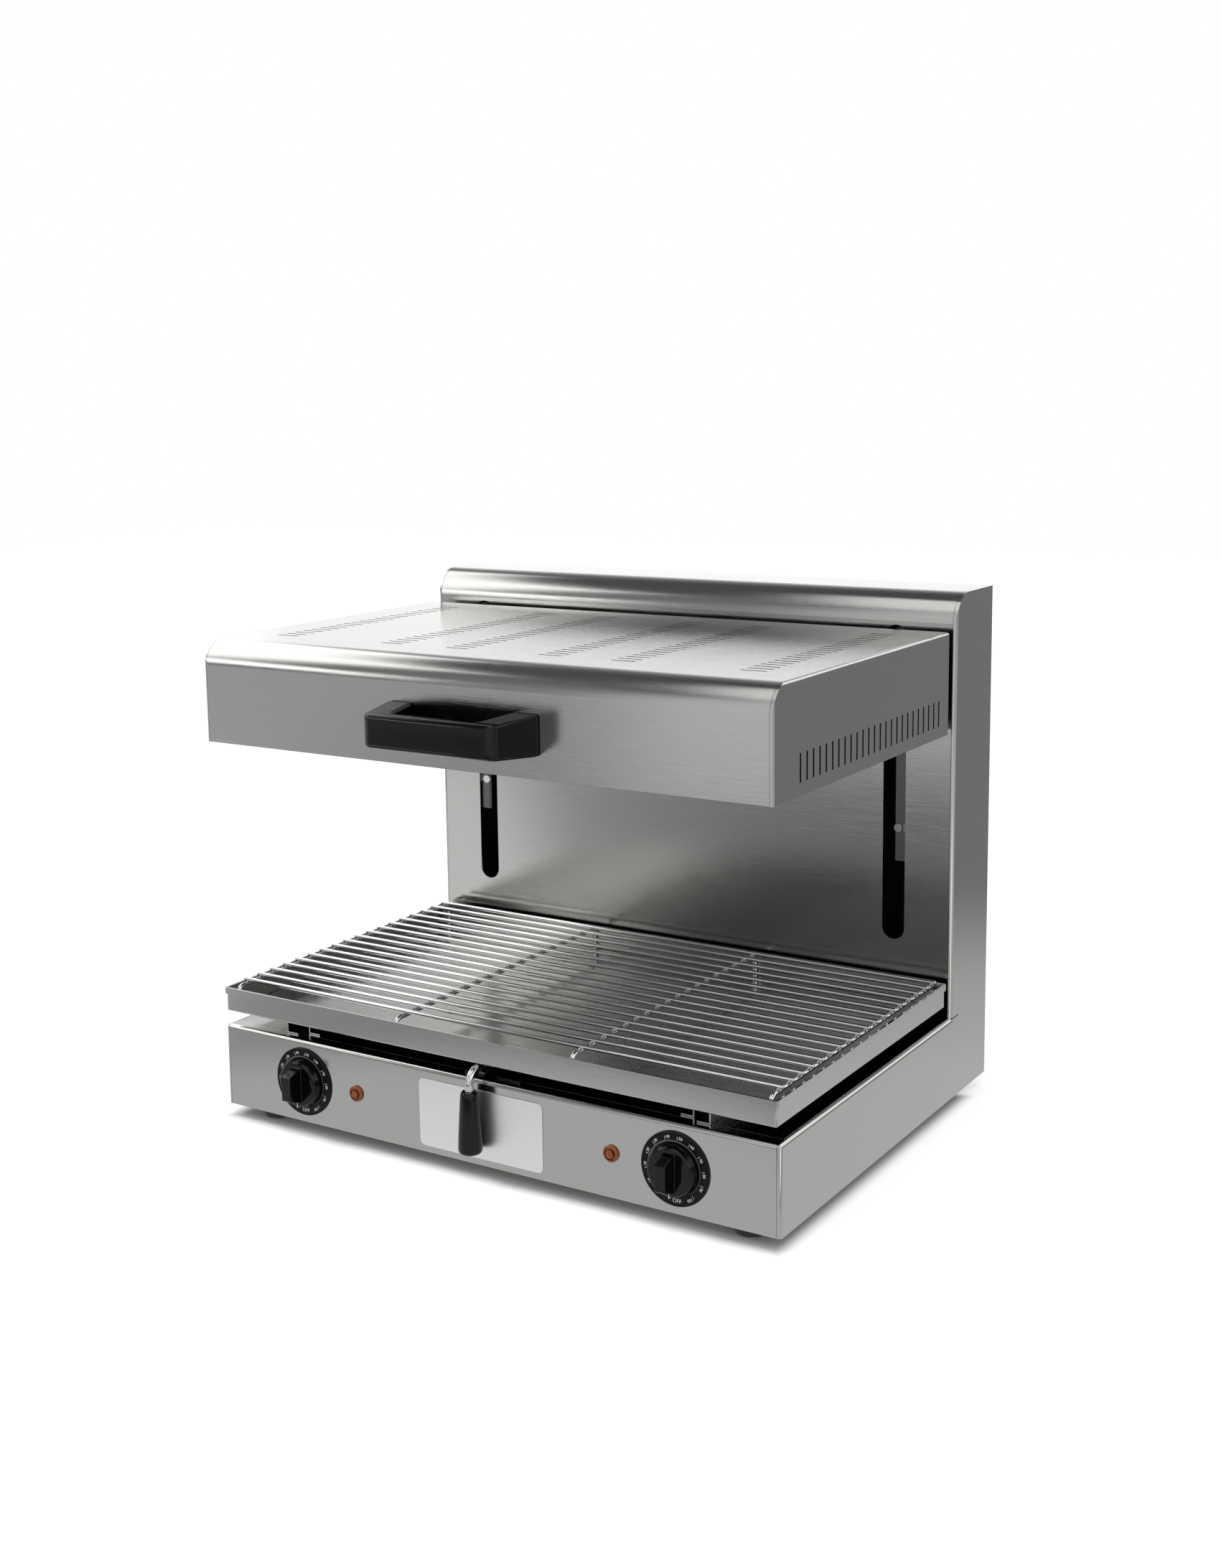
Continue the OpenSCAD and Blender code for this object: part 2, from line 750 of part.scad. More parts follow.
// Runs of the cables between the pulleys and the carriages
module carriage_cables() {
    color([0.45, 0.45, 0.46]) placed() both_sides(pulley_x)
        translate([0, rod_y, block_top_z + block_h])
            cylinder(d = cable_d, h = pulley_z - block_top_z - block_h);
}

// ---------- hood ----------

// Solid form of the hood, its faces moved inwards by i
module hood_form(i, low) {
    w = hood_w / 2 - i;
    r = max(hood_fold_r - i, eps);
    intersection() {
        along_x(-w, w) arch([hood_y0 + i, low], [hood_y1, hood_z1 - i], hood_r - i, false);
        along_y(hood_y0 - 1, hood_y1 + 1) arch([-w, low], [w, hood_z1 - i], r);
        along_z(low, hood_z1) rotate(180) arch([-w, -hood_y1 - 1], [w, -hood_y0 - i], r);
    }
}

module hood_skin() {
    difference() {
        hood_form(0, hood_z0);
        translate([0, 1, 0]) hood_form_open();
    }
}

// The hollow of the hood, open below and behind
module hood_form_open() {
    translate([0, -1, 0]) hood_form(hood_t, hood_z0 - 1);
    block([-hood_w / 2 + hood_t, hood_y1 - 3, hood_z0 - 1],
        [hood_w / 2 - hood_t, hood_y1 + 1, hood_z1 - hood_t]);
}

module hood_cover() {
    edge = hood_w / 2 - hood_fold_r - seam;
    color([0.75, 0.75, 0.74]) placed() difference() {
        union() {
            intersection() {
                hood_skin();
                block([-edge, hood_y0 - 1, hood_z0], [edge, hood_y1 + 1, hood_z1]);
            }
            block([-edge, hood_y0 + hood_t / 2, hood_z0],
                [edge, hood_y0 + hood_t + lip_w, hood_z0 + hood_t]);
        }
        for (x = [top_row_inner, top_row_middle, top_row_outer], s = [-1, 1], i = [0:top_vents - 1])
            translate([s * x, vent_y0 + 15.5 + i * top_pitch, hood_z1])
                cube([vent_len, vent_w, 4 * hood_t], center = true);
    }
}

module hood_side(side) {
    color([0.75, 0.75, 0.74]) placed() difference() {
        union() {
            intersection() {
                hood_skin();
                translate([side * (hood_w / 2 - hood_fold_r / 2), body_d / 2, hood_z0 + hood_h / 2])
                    cube([hood_fold_r, 2 * body_d, hood_h + 2], center = true);
            }
            mirror([side > 0 ? 0 : 1, 0, 0])
                block([hood_w / 2 - hood_t - lip_w, hood_y0 + hood_t + lip_w + seam, hood_z0],
                    [hood_w / 2 - hood_t / 2, hood_y1 - back_lip_w - seam, hood_z0 + hood_t]);
        }
        for (i = [0:side_vents - 1])
            translate([side * hood_w / 2, vent_y0 + i * side_pitch, hood_z0 + vent_low + vent_len / 2])
                cube([4 * hood_t, vent_w, vent_len], center = true);
    }
}

module hood_back() {
    w = hood_w / 2 - hood_t - 0.1;
    color([0.5, 0.5, 0.5]) placed() union() {
        block([-w, hood_y1 - hood_t, hood_z0], [w, hood_y1, hood_z1 - hood_t - 0.1]);
        block([-w, hood_y1 - back_lip_w, hood_z0], [w, hood_y1, hood_z0 + hood_t]);
    }
}

// Bright pan behind the heaters, open below
module reflector_pan() {
    rim_y0 = hood_y0 + hood_t + seam;
    rim_y1 = hood_y1 - hood_t - seam;
    rim_z = hood_z0 + hood_t;
    color([0.8, 0.8, 0.8]) placed() difference() {
        union() {
            block([-pan_x, pan_y0, rim_z], [pan_x, pan_y1, pan_z]);
            along_z(rim_z, rim_z + hood_t) translate([0, (rim_y0 + rim_y1) / 2])
                round_rect(hood_w - 2 * hood_t - 2 * seam, rim_y1 - rim_y0, hood_fold_r);
        }
        block([-pan_x + hood_t, pan_y0 + hood_t, hood_z0 - 1],
            [pan_x - hood_t, pan_y1 - hood_t, pan_z - hood_t]);
        for (s = [-1, 1]) at_heater_ends(s) rod_y(heater_d / 2 + 0.4, pan_y1 - 3, pan_y1 + 2);
    }
}

module insulation_mat() {
    color([0.9, 0.88, 0.82]) placed()
        block([-pan_x + 4, pan_y0 + 4, pan_z], [pan_x - 4, pan_y1 - 4, pan_z + mat_t]);
}

// Children at the two ends of a zone's heater
module at_heater_ends(s) {
    for (i = [0, heater_runs - 1])
        translate([s * zone_x + (i - (heater_runs - 1) / 2) * heater_pitch, 0, heat_z]) children();
}

// One zone's tubular heater: straight runs joined by half turns
module heater(side) {
    last = heater_runs - 1;
    color([0.35, 0.33, 0.32]) placed() translate([side * zone_x, 0, heat_z]) {
        for (i = [0:last]) translate([(i - last / 2) * heater_pitch, 0, 0])
            rod_y(heater_d / 2, run_y0, (i == 0 || i == last) ? hood_y1 - hood_t - 6 : run_y1);
        for (i = [0:last - 1]) translate([(i + 0.5 - last / 2) * heater_pitch, i % 2 == 0 ? run_y0 : run_y1, 0])
            rotate([0, 0, i % 2 == 0 ? 180 : 0]) rotate_extrude(angle = 180)
                translate([heater_pitch / 2, 0]) circle(d = heater_d, $fn = 24);
    }
}

// Two cross strips in the pan that the heaters pass through
module heater_supports() {
    strip_h = 14;
    strip_t = 2;
    w = pan_x - hood_t - 0.1;
    color([0.7, 0.7, 0.7]) placed() difference() {
        for (y = [run_y0 + 30, run_y1 - 30])
            block([-w, y, heat_z - strip_h / 2], [w, y + strip_t, heat_z + strip_h / 2]);
        for (s = [-1, 1], i = [0:heater_runs - 1])
            translate([s * zone_x + (i - (heater_runs - 1) / 2) * heater_pitch, 0, heat_z])
                rod_y(heater_d / 2 + 0.3, run_y0, run_y1);
    }
}

module heater_terminals() {
    color([0.93, 0.92, 0.88]) placed() for (s = [-1, 1]) at_heater_ends(s) difference() {
        rod_y(heater_d / 2 + 2.5, pan_y1 + 0.2, pan_y1 + 8);
        rod_y(heater_d / 2 + 0.1, pan_y1 - 1, pan_y1 + 9);
    }
}

// Moulded pull handle: a round-cornered bar on two tapered arms
module hood_handle() {
    y0 = hood_y0 - handle_reach;
    zm = hood_z0 + 37.8;
    edge_r = 4;
    top = zm + handle_bar_h / 2;
    low = zm - handle_bar_h / 2;
    inner_back = handle_w / 2 - handle_arm_w;
    inner_front = handle_bar_w / 2 - 0.87 * handle_arm_w;
    color([0.04, 0.04, 0.04]) placed() intersection() {
        along_z(hood_z0, hood_z1) difference() {
            handle_plan(handle_w / 2, handle_bar_w / 2, hood_y0, y0, 9);
            handle_plan(inner_back, inner_front, hood_y0 + 1, y0 + handle_bar_t, 5);
        }
        along_x(-handle_w, handle_w) difference() {
            polygon([[hood_y0, zm - handle_h / 2], [hood_y0, zm + handle_h / 2],
                [y0 + edge_r, top], [y0, top], [y0, low], [y0 + edge_r, low]]);
            translate([y0, top]) corner_waste(edge_r);
            translate([y0, low]) mirror([0, 1]) corner_waste(edge_r);
        }
    }
}

// Trapezoid from half width a at y_back to half width b at y_front, its front corners round
module handle_plan(a, b, y_back, y_front, r) {
    lean = atan2(a - b, y_back - y_front);
    x = b + r * tan(lean) - r / cos(lean);
    difference() {
        polygon([[-a, y_back], [a, y_back], [b, y_front], [-b, y_front]]);
        for (s = [0, 1]) mirror([s, 0]) translate([x, y_front + r]) difference() {
            polygon([[0, 0], [0, -r - 1], [r + 2, -r - 1],
                [(r + 1) * cos(lean), -(r + 1) * sin(lean)]]);
            circle(r);
        }
    }
}

// ---------- lift: pieces that ride with the hood ----------

// Angle that carries the hood: one leg on its back, the other through the slot
module hood_arm(side) {
    x1 = carriage_x - 0.1;
    color([0.3, 0.3, 0.3]) placed() mirror([side > 0 ? 0 : 1, 0, 0]) union() {
        block([x1 - arm_t, hood_y1, arm_z], [x1, carriage_y + carriage_d - 1, arm_z + arm_h]);
        block([x1 - 34, hood_y1, arm_z], [x1, hood_y1 + arm_t, arm_z + arm_h]);
    }
}

// Channel that slides on the guide rod, with its web behind the slot
module carriage(side) {
    hole_l = 20;
    hole_h = 8;
    inner_r = 1;
    color([0.7, 0.7, 0.7]) placed() mirror([side > 0 ? 0 : 1, 0, 0])
        translate([carriage_x, carriage_y, 0]) difference() {
            along_z(carriage_z0, carriage_z1) rotate(180) mirror([1, 0]) difference() {
                arch([0, -carriage_d], [carriage_w, 0], inner_r + carriage_t);
                arch([carriage_t, -carriage_d - 1], [carriage_w - carriage_t, -carriage_t], inner_r);
            }
            block([carriage_t + 0.1, -1, bolt_z - hole_h / 2],
                [carriage_t + hole_l, carriage_t + inner_r + 0.2, bolt_z + hole_h / 2]);
        }
}

module bearing_blocks() {
    color([0.92, 0.91, 0.88]) placed() for (s = [-1, 1], z = [block_low_z, block_top_z])
        translate([0, 0, z]) difference() {
            mirror([s > 0 ? 0 : 1, 0, 0])
                block([carriage_x + carriage_t + seam, carriage_y + carriage_t + seam, 0],
                    [carriage_x + carriage_w - carriage_t - seam, block_y1, block_h]);
            translate([s * rod_x, rod_y, -1]) cylinder(r = rod_d / 2 + bush_gap, h = block_h + 2);
            if (z == block_low_z) translate([s * bolt_x, 0, bolt_z - z])
                rod_y(bolt_r, carriage_y, carriage_y + carriage_t + 12);
        }
}

module carriage_bolts() {
    color([0.78, 0.78, 0.77]) placed() both_sides(bolt_x) translate([0, carriage_y, bolt_z]) {
        rod_y(bolt_r, -0.5, carriage_t + 11);
        turned_y() polygon([[0, 0], [2 * bolt_r, 0], [2 * bolt_r, 0.8],
            [2 * bolt_r - 0.6, carriage_gap - 0.4], [0, carriage_gap - 0.4]]);
    }
}

// ---------- tray ----------

module drip_tray() {
    edge = 2;
    color([0.74, 0.74, 0.73]) placed() difference() {
        union() {
            tray_form(0, tray_z0, tray_z1, edge);
            along_z(tray_z1 - hem_h, tray_z1)
                translate([0, (tray_y0 + tray_y1) / 2]) round_rect(tray_w, tray_y1 - tray_y0, 2);
        }
        tray_form(tray_t, tray_floor, tray_z1 + 1, edge - tray_t);
        // the hem's ends don't meet at the corners
        for (x = [-1, 1], y = [-1, 1]) translate([x * wall_x, y > 0 ? wall_y1 : wall_y0,
            tray_z1 - hem_h - 1]) rotate(45 * x * y) translate([x * 2.2, 0, 0])
                cube([4, 0.8, 2 * hem_h + 2], center = true);
    }
}

// Box with round lower edges and round upright edges, its faces moved inwards by i
module tray_form(i, z0, z1, r) {
    w = wall_x - i;
    y0 = wall_y0 + i;
    y1 = wall_y1 - i;
    intersection() {
        along_y(y0, y1) mirror([0, 1]) arch([-w, -z1], [w, -z0], r);
        along_x(-w, w) mirror([0, 1]) arch([y0, -z1], [y1, -z0], r);
        along_z(z0, z1) translate([0, (y0 + y1) / 2]) round_rect(2 * w, y1 - y0, r);
    }
}

// Four folded angles under the tray that it slides on
module tray_runners() {
    y1 = wall_y1 - 12;
    color([0.7, 0.7, 0.7]) placed() for (s = [-1, 1])
        for (run = [[runner_outer_x, 10], [runner_inner_x, 18]]) mirror([s > 0 ? 0 : 1, 0, 0])
            translate([run[0], 0, 0]) {
                block([-runner_t, run[1], base_top + seam], [0, y1, tray_z0]);
                block([-runner_foot, run[1], base_top + seam], [0, y1, base_top + seam + runner_t]);
            }
}

module pull_bracket() {
    top = pull_z - pull_d / 2;
    color([0.7, 0.7, 0.7]) placed() {
        along_z(top - 1.4, top) polygon([[-30, 60], [30, 60], [30, 22], [7, 22], [6, 3],
            [-6, 3], [-7, 22], [-30, 22]]);
        for (s = [-1, 1]) block([min(s * 30, s * 28.6), 22, top - 1.4], [max(s * 30, s * 28.6), 60, tray_z0]);
    }
}

// Round rod from under the tray, bent down in front of the base
module pull_rod() {
    color([0.78, 0.78, 0.77]) placed() {
        translate([0, 0, pull_z]) rod_y(pull_d / 2, pull_y + pull_bend, 56);
        translate([0, pull_y + pull_bend, pull_z - pull_bend]) rotate([0, -90, 0])
            rotate([0, 0, 180]) mirror([1, 0, 0]) rotate_extrude(angle = 90)
                translate([pull_bend, 0]) circle(d = pull_d);
        translate([0, pull_y, grip_z1 - 20]) cylinder(d = pull_d, h = pull_z - pull_bend - grip_z1 + 20);
    }
}

module pull_grip() {
    r = grip_d / 2;
    neck_r = 8;
    bore_r = pull_d / 2;
    color([0.05, 0.05, 0.05]) placed() translate([0, pull_y, grip_z1 - grip_len]) rotate_extrude()
        polygon([[0, 0], [r - 4, 0], [r - 1.2, 1.4], [r, 5], [r - 0.3, 12], [neck_r + 0.6, grip_len - 8],
            [neck_r, grip_len - 2], [neck_r - 1.5, grip_len], [bore_r, grip_len],
            [bore_r, grip_len - 20], [0, grip_len - 20]]);
}

// ---------- grid ----------

module grid_rods() {
    color([0.85, 0.85, 0.85]) placed() for (i = [0:grid_count - 1])
        translate([0, grid_y0 + i * grid_pitch, grid_z]) rotate([0, 90, 0])
            cylinder(d = grid_rod_d, h = grid_rod_len, center = true);
}

// Cross wires under the rods, with both ends bent down to stand in the tray
module grid_wires() {
    foot_z = tray_floor + seam;
    inner_x = grid_wire_x / 3;
    color([0.82, 0.82, 0.82]) placed()
        for (x = [-grid_wire_x, -inner_x, inner_x, grid_wire_x]) translate([x, 0, 0]) {
            translate([0, 0, wire_z]) rod_y(grid_wire_d / 2, wire_y0 + leg_r, wire_y1 - leg_r);
            for (y = [wire_y0, wire_y1])
                translate([0, y, foot_z]) cylinder(d = grid_wire_d, h = wire_z - leg_r - foot_z);
            translate([0, wire_y0 + leg_r, wire_z - leg_r]) wire_bend();
            translate([0, wire_y1 - leg_r, wire_z - leg_r]) mirror([0, 1, 0]) wire_bend();
        }
}

// Quarter turn of a cross wire, from a leg up to its level run
module wire_bend() {
    rotate([0, -90, 0]) rotate([0, 0, 180]) mirror([1, 0, 0]) rotate_extrude(angle = 90)
        translate([leg_r, 0]) circle(d = grid_wire_d, $fn = 24);
}

side_panel(left);  // side_panel_left
side_panel(right);  // side_panel_right
base_front_panel();
base_top_sheet();
base_floor();
column_front_sheet();
rear_base_panel();
rear_cover();
cover_screws();
feet();
dial_plate(left);  // dial_plate_left
dial_plate(right);  // dial_plate_right
pilot_lamp(left);  // pilot_lamp_left
pilot_lamp(right);  // pilot_lamp_right
regulator(left);  // regulator_left
regulator(right);  // regulator_right
name_plate();
terminal_block();
cable_gland();
guide_rods();
lower_bracket();
upper_bracket();
pulley_forks();
cable_wraps();
weight_guide_rods();
weight_buffers();
pulley(left);  // pulley_left
pulley(right);  // pulley_right
counterweight();
weight_cables();
hood_cover();
hood_side(left);  // hood_side_left
hood_side(right);  // hood_side_right
hood_back();
reflector_pan();
insulation_mat();
heater(left);  // heater_left
heater(right);  // heater_right
heater_supports();
heater_terminals();
hood_handle();
hood_arm(left);  // hood_arm_left
hood_arm(right);  // hood_arm_right
carriage(left);  // carriage_left
carriage(right);  // carriage_right
bearing_blocks();
carriage_bolts();
carriage_cables();
knob(left);  // knob_left
knob(right);  // knob_right
spindle(left);  // spindle_left
spindle(right);  // spindle_right
drip_tray();
tray_runners();
pull_bracket();
pull_rod();
pull_grip();
grid_rods();
grid_wires();
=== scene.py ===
# %% [markdown]
# # A salamander grill with a lift hood
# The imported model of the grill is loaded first: it fixes every size, hinge and slide. What follows
# gives each sheet, rod and knob the finish and the small forms that a maker would give it.

import json
import math

import bmesh
import bpy
from mathutils import Matrix, Vector


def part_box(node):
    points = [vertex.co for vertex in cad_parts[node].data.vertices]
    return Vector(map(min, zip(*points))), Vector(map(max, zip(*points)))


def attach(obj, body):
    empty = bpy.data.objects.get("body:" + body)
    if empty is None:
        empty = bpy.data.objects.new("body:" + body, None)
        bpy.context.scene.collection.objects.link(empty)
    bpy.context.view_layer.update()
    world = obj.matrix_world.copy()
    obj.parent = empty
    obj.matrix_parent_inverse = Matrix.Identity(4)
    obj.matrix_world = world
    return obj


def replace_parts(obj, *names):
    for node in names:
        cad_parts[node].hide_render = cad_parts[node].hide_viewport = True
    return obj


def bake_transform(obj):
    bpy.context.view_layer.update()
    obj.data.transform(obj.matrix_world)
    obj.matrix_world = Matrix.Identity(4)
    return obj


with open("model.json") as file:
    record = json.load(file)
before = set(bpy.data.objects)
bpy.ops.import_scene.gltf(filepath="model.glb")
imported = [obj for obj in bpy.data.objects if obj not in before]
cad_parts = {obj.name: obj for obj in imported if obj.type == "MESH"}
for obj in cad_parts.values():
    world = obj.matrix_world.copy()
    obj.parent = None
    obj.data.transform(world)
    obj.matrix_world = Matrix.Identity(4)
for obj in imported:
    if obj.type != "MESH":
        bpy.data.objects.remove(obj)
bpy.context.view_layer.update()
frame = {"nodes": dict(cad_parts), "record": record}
nodes = frame["nodes"]

# %% [markdown]
# ## Measures
# The drawings put zero on the underside of the sheet base, in the middle of its width and on its
# front face. The frame has the floor at zero and the middle of the depth at zero. One function
# moves a point of the drawing there and turns its millimetres into metres.

# %% Millimetres to the frame
FOOT = 12.0
MID_Y = 201.0
MM = 0.001
SIDES = (("left", -1), ("right", 1))


def at(x, y, z):
    """A point of the drawing, in millimetres, as a point of the frame, in metres."""
    return Vector((x * MM, (y - MID_Y) * MM, (z + FOOT) * MM))


print("front edge of the base", tuple(round(v, 4) for v in at(0, 0, 0)))

# %% [markdown]
# ## Colours
# A colour is written as it looks on a screen, as an sRGB hex code. Blender mixes light in linear
# numbers, so one function turns the code into those.

# %% Hex codes to linear colours


def linear(code):
    """An sRGB hex colour as the linear numbers that Blender mixes."""
    parts = [int(code[i:i + 2], 16) / 255 for i in (1, 3, 5)]
    light = [c / 12.92 if c <= 0.04045 else ((c + 0.055) / 1.055) ** 2.4 for c in parts]
    return tuple(light) + (1.0,)


def shaded(colour, share, lift=0.0):
    """A colour made darker or lighter by a share, and lifted a little."""
    return tuple(min(1, c * share + lift) for c in colour[:3]) + (1,)


print("a mid grey is", round(linear("#808080")[0], 3), "in linear light")

# %% [markdown]
# ## Nodes of a material
# Every finish below is a small net of shader nodes. One function adds a node of any kind. What it
# is told by name goes to a setting of that node or to one of its sockets, and a socket can take a
# number, a colour or the output of another node. A colour ramp also takes its stops.

# %% One function that adds a shader node


def add(tree, kind, out=0, stops=(), **inputs):
    """Adds a node and returns the output that out names or numbers.

    Each other key is a setting of the node, or a socket's name, or i and the socket's number.
    """
    node = tree.nodes.new("ShaderNode" + kind)
    for key, value in inputs.items():
        if hasattr(node, key) and not isinstance(value, bpy.types.NodeSocket):
            setattr(node, key, value)
            continue
        index = int(key[1:]) if key[0] == "i" and key[1:].isdigit() else key.replace("_", " ")
        socket = node.inputs[index]
        if isinstance(value, bpy.types.NodeSocket):
            tree.links.new(value, socket)
        else:
            socket.default_value = value
    for i, (spot, value) in enumerate(stops):
        points = node.color_ramp.elements
        point = points[i] if i < 2 else points.new(spot)
        point.position = spot
        point.color = value if isinstance(value, tuple) else (value, value, value, 1.0)
    return node.outputs[out] if node.outputs else None


def new_material(name):
    """An empty material, its tree and the place on the piece in metres."""
    material = bpy.data.materials.new(name)
    material.use_nodes = True
    tree = material.node_tree
    tree.nodes.clear()
    return material, tree, add(tree, "TexCoord", out="Object")


print("node helper ready")

# %% [markdown]
# ## Satin stainless steel
# The sheets are AISI 430 steel that the mill ground with a belt. The belt leaves grain that runs
# along the sheet for several centimetres. It blurs what the steel mirrors across the grain and
# hardly along it. The shader's Anisotropic could do that too, but it needs a direction on every
# sheet. A noise stretched along the grain drives a bump instead, which gives that one-way blur from
# any side. The steel is also a little darker in the grain, and wiping leaves clouds in its gloss.

# %% Steel sheet, ground with a belt
GRAIN = 0.3 * MM  # a belt's grain is near 0.1 mm, and is drawn as coarse as it needs to show
GRAIN_LENGTH = 60 * MM
GRAIN_SHADE = 0.93
CLOUD = 1 / 14  # a cloud from wiping is about 71 mm wide


def steel(name, along, colour="#b8b9b6", rough=(0.09, 0.14), depth=0.028 * MM, metallic=1.0):
    """Ground sheet whose grain runs along an axis."""
    material, tree, point = new_material(name)
    stretch = [1 / GRAIN] * 3
    stretch["XYZ".index(along)] = 1 / GRAIN_LENGTH
    lines = add(tree, "Mapping", Vector=point, Scale=tuple(stretch))
    grain = add(tree, "TexNoise", Vector=lines, Scale=1.0, Detail=2.0, Roughness=0.6)
    clouds = add(tree, "TexNoise", Vector=point, Scale=1 / CLOUD, Detail=3.0, Roughness=0.55)
    base = linear(colour)
    tint = add(tree, "ValToRGB", Fac=grain,
               stops=((0.25, shaded(base, GRAIN_SHADE)), (0.75, base)))
    add(tree, "OutputMaterial", Surface=add(
        tree, "BsdfPrincipled", Base_Color=tint, Metallic=metallic,
        Roughness=add(tree, "MapRange", Value=clouds, To_Min=rough[0], To_Max=rough[1]),
        Normal=add(tree, "Bump", Height=grain, Distance=depth, Strength=1.0)))
    return material


# Satin sheet: a soft mirror, blurred across its grain.
steel_across = steel("satin_steel_grain_across", "X")
steel_to_back = steel("satin_steel_grain_to_the_back", "Y")
# The base's flat top was rolled bright and ground less, so it mirrors the column sharply.
steel_bright = steel("bright_steel_grain_across", "X", "#b4b4b2", (0.08, 0.14), 0.007 * MM)
# Zinc on brackets and the base's floor: dull where the bath left crystals, and darkened as painted
# shade.
zinc_steel_painted_shade = steel("zinc_plated_steel", "X", "#6c6d6b", (0.28, 0.38), 0.006 * MM)
# Unground inner side: matt, and darkened as painted shade for the inside of column and hood.
inner_side_painted_shade = steel("dull_mill_side_of_sheet", "X", "#3c3b39", (0.5, 0.62), 0.006 * MM, 0.7)
# Walls of the punched vents: rough, and near black as painted shade for the inside of the vents.
vent_wall_painted_shade = steel("dark_punched_edge", "Z", "#070707", (0.6, 0.7), 0.01 * MM, 0.3)
# Bending stretches the grain open in the hem, so its mirror is softer.
hem_steel = steel("stretched_hem_steel", "X", "#b8b9b6", (0.16, 0.22))
# The name plate is bare aluminium: paler than steel, with a fine satin.
plate_silver = steel("bare_satin_aluminium_plate", "X", "#f2f2f2", (0.3, 0.4), 0.004 * MM)
print("steel: grain", round(GRAIN / MM, 2), "mm wide and", round(GRAIN_LENGTH / MM), "mm long")

# %% [markdown]
# ## Small metals
# The grid and the pull rod are drawn wire, and the guide rods are ground, all with a hard chrome
# coat, so they mirror sharply. Drawing leaves slight waves that break up the lights along a rod.

# %% Chromed wire, ground rod, reflector
DRAWN_WAVE = 6 * MM


def chrome(name, colour, rough, waves):
    """A coat that mirrors, over a surface with slight waves from drawing."""
    material, tree, point = new_material(name)
    drawn = add(tree, "TexNoise", Vector=point, Scale=1 / DRAWN_WAVE, Detail=2.0)
    add(tree, "OutputMaterial", Surface=add(
        tree, "BsdfPrincipled", Base_Color=linear(colour), Metallic=1.0,
        Roughness=add(tree, "MapRange", Value=drawn, To_Min=rough * 0.7, To_Max=rough * 1.4),
        Normal=add(tree, "Bump", Height=drawn, Distance=waves, Strength=1.0)))
    return material


# Drawn wire under chrome: bright, with lights that waver along it.
chromed_wire = chrome("chromed_wire", "#cfcfce", 0.12, 0.05 * MM)
# Ground rod under chrome: straight, sharp lights.
ground_rod = chrome("ground_chromed_rod", "#c4c4c4", 0.09, 0.01 * MM)
# Rolled reflector sheet: bright, buckled a little by heat.
reflector = chrome("bright_reflector_sheet", "#cbcbca", 0.16, 0.08 * MM)
print("chrome: waves", round(DRAWN_WAVE / MM), "mm long")

# %% [markdown]
# ## Cable
# The lift's cables are 2.5 mm thick, of steel strands that are laid in a spiral. Each strand could
# be a mesh of its own, but the cables are thin and mostly hidden, so slanted bands paint the light
# and dark of the strands, the light on their crowns and the shade between them, and the same bands
# drive the bump.

# %% Stranded cable
WAVE_REPEAT = math.tau / 10  # a Wave Texture of scale 1 repeats after this length
LAY = 3 * MM
cable, tree, point = new_material("stranded_steel_cable")
lay = add(tree, "TexWave", Vector=point, Scale=1 / LAY, wave_type="BANDS",
          bands_direction="DIAGONAL", Distortion=0.4)
# The dark stop is painted shade between the strands, the pale stop painted light on them.
tint = add(tree, "ValToRGB", Fac=lay, stops=((0.2, linear("#5a5a5c")), (0.8, linear("#9b9b9d"))))
add(tree, "OutputMaterial", Surface=add(
    tree, "BsdfPrincipled", Base_Color=tint, Metallic=1.0, Roughness=0.38,
    Normal=add(tree, "Bump", Height=lay, Distance=0.2 * MM)))
print("cable: a strand every", round(LAY * WAVE_REPEAT / MM, 1), "mm")

# %% [markdown]
# ## Plastics, rubber, ceramic, iron and paint
# Most of these came out of a mould. Their skin has slight waves from shrinking, and fine dust and
# finger marks a few millimetres wide show in the gloss. Paint, ink and oxide have the same soft
# unevenness, so one function serves them all: it takes the colour, the roughness and the size of
# the waves.

# %% Moulded and pressed materials
MARKS = 2.5 * MM


def moulded(name, colour, rough, waves=0.04 * MM, wave_size=9 * MM, specular=0.5):
    """A solid or a coat with soft waves in its skin and a little wear in its gloss."""
    material, tree, point = new_material(name)
    skin = add(tree, "TexNoise", Vector=point, Scale=1 / wave_size, Detail=3.0)
    marks = add(tree, "TexNoise", Vector=point, Scale=1 / MARKS, Detail=4.0)
    base = linear(colour)
    tint = add(tree, "ValToRGB", Fac=marks, stops=((0.3, base), (0.8, shaded(base, 1.25, 0.002))))
    add(tree, "OutputMaterial", Surface=add(
        tree, "BsdfPrincipled", Base_Color=tint, Specular_IOR_Level=specular,
        Roughness=add(tree, "MapRange", Value=marks, To_Min=rough * 0.8, To_Max=rough * 1.3),
        Normal=add(tree, "Bump", Height=skin, Distance=waves, Strength=1.0)))
    return material


# Phenolic, pressed hot in a polished mould: deep black with sharp lights on its edges.
phenolic = moulded("black_phenolic_glossy", "#010102", 0.1, specular=0.31)
# Baked flat paint on the dial plates: black with a broad faint sheen.
dial_black = moulded("flat_black_dial_paint", "#040405", 0.36, 0.01 * MM, specular=0.18)
# Rubber of the feet and buffers: charcoal, matt, finely grained by its mould.
rubber = moulded("black_rubber", "#151515", 0.62, 0.05 * MM, 1.2 * MM)
# Nylon of the pulleys and bearings: cream with a soft gloss.
cream = moulded("cream_moulded_plastic", "#dcd7c8", 0.4)
# Glazed steatite of the terminals: white and shiny.
ceramic = moulded("glazed_ceramic", "#e9e6dc", 0.18)
# The counterweight is sand cast and painted: dark, with the sand's pimples.
iron = moulded("painted_cast_iron", "#27282a", 0.5, 0.25 * MM, 1.6 * MM)
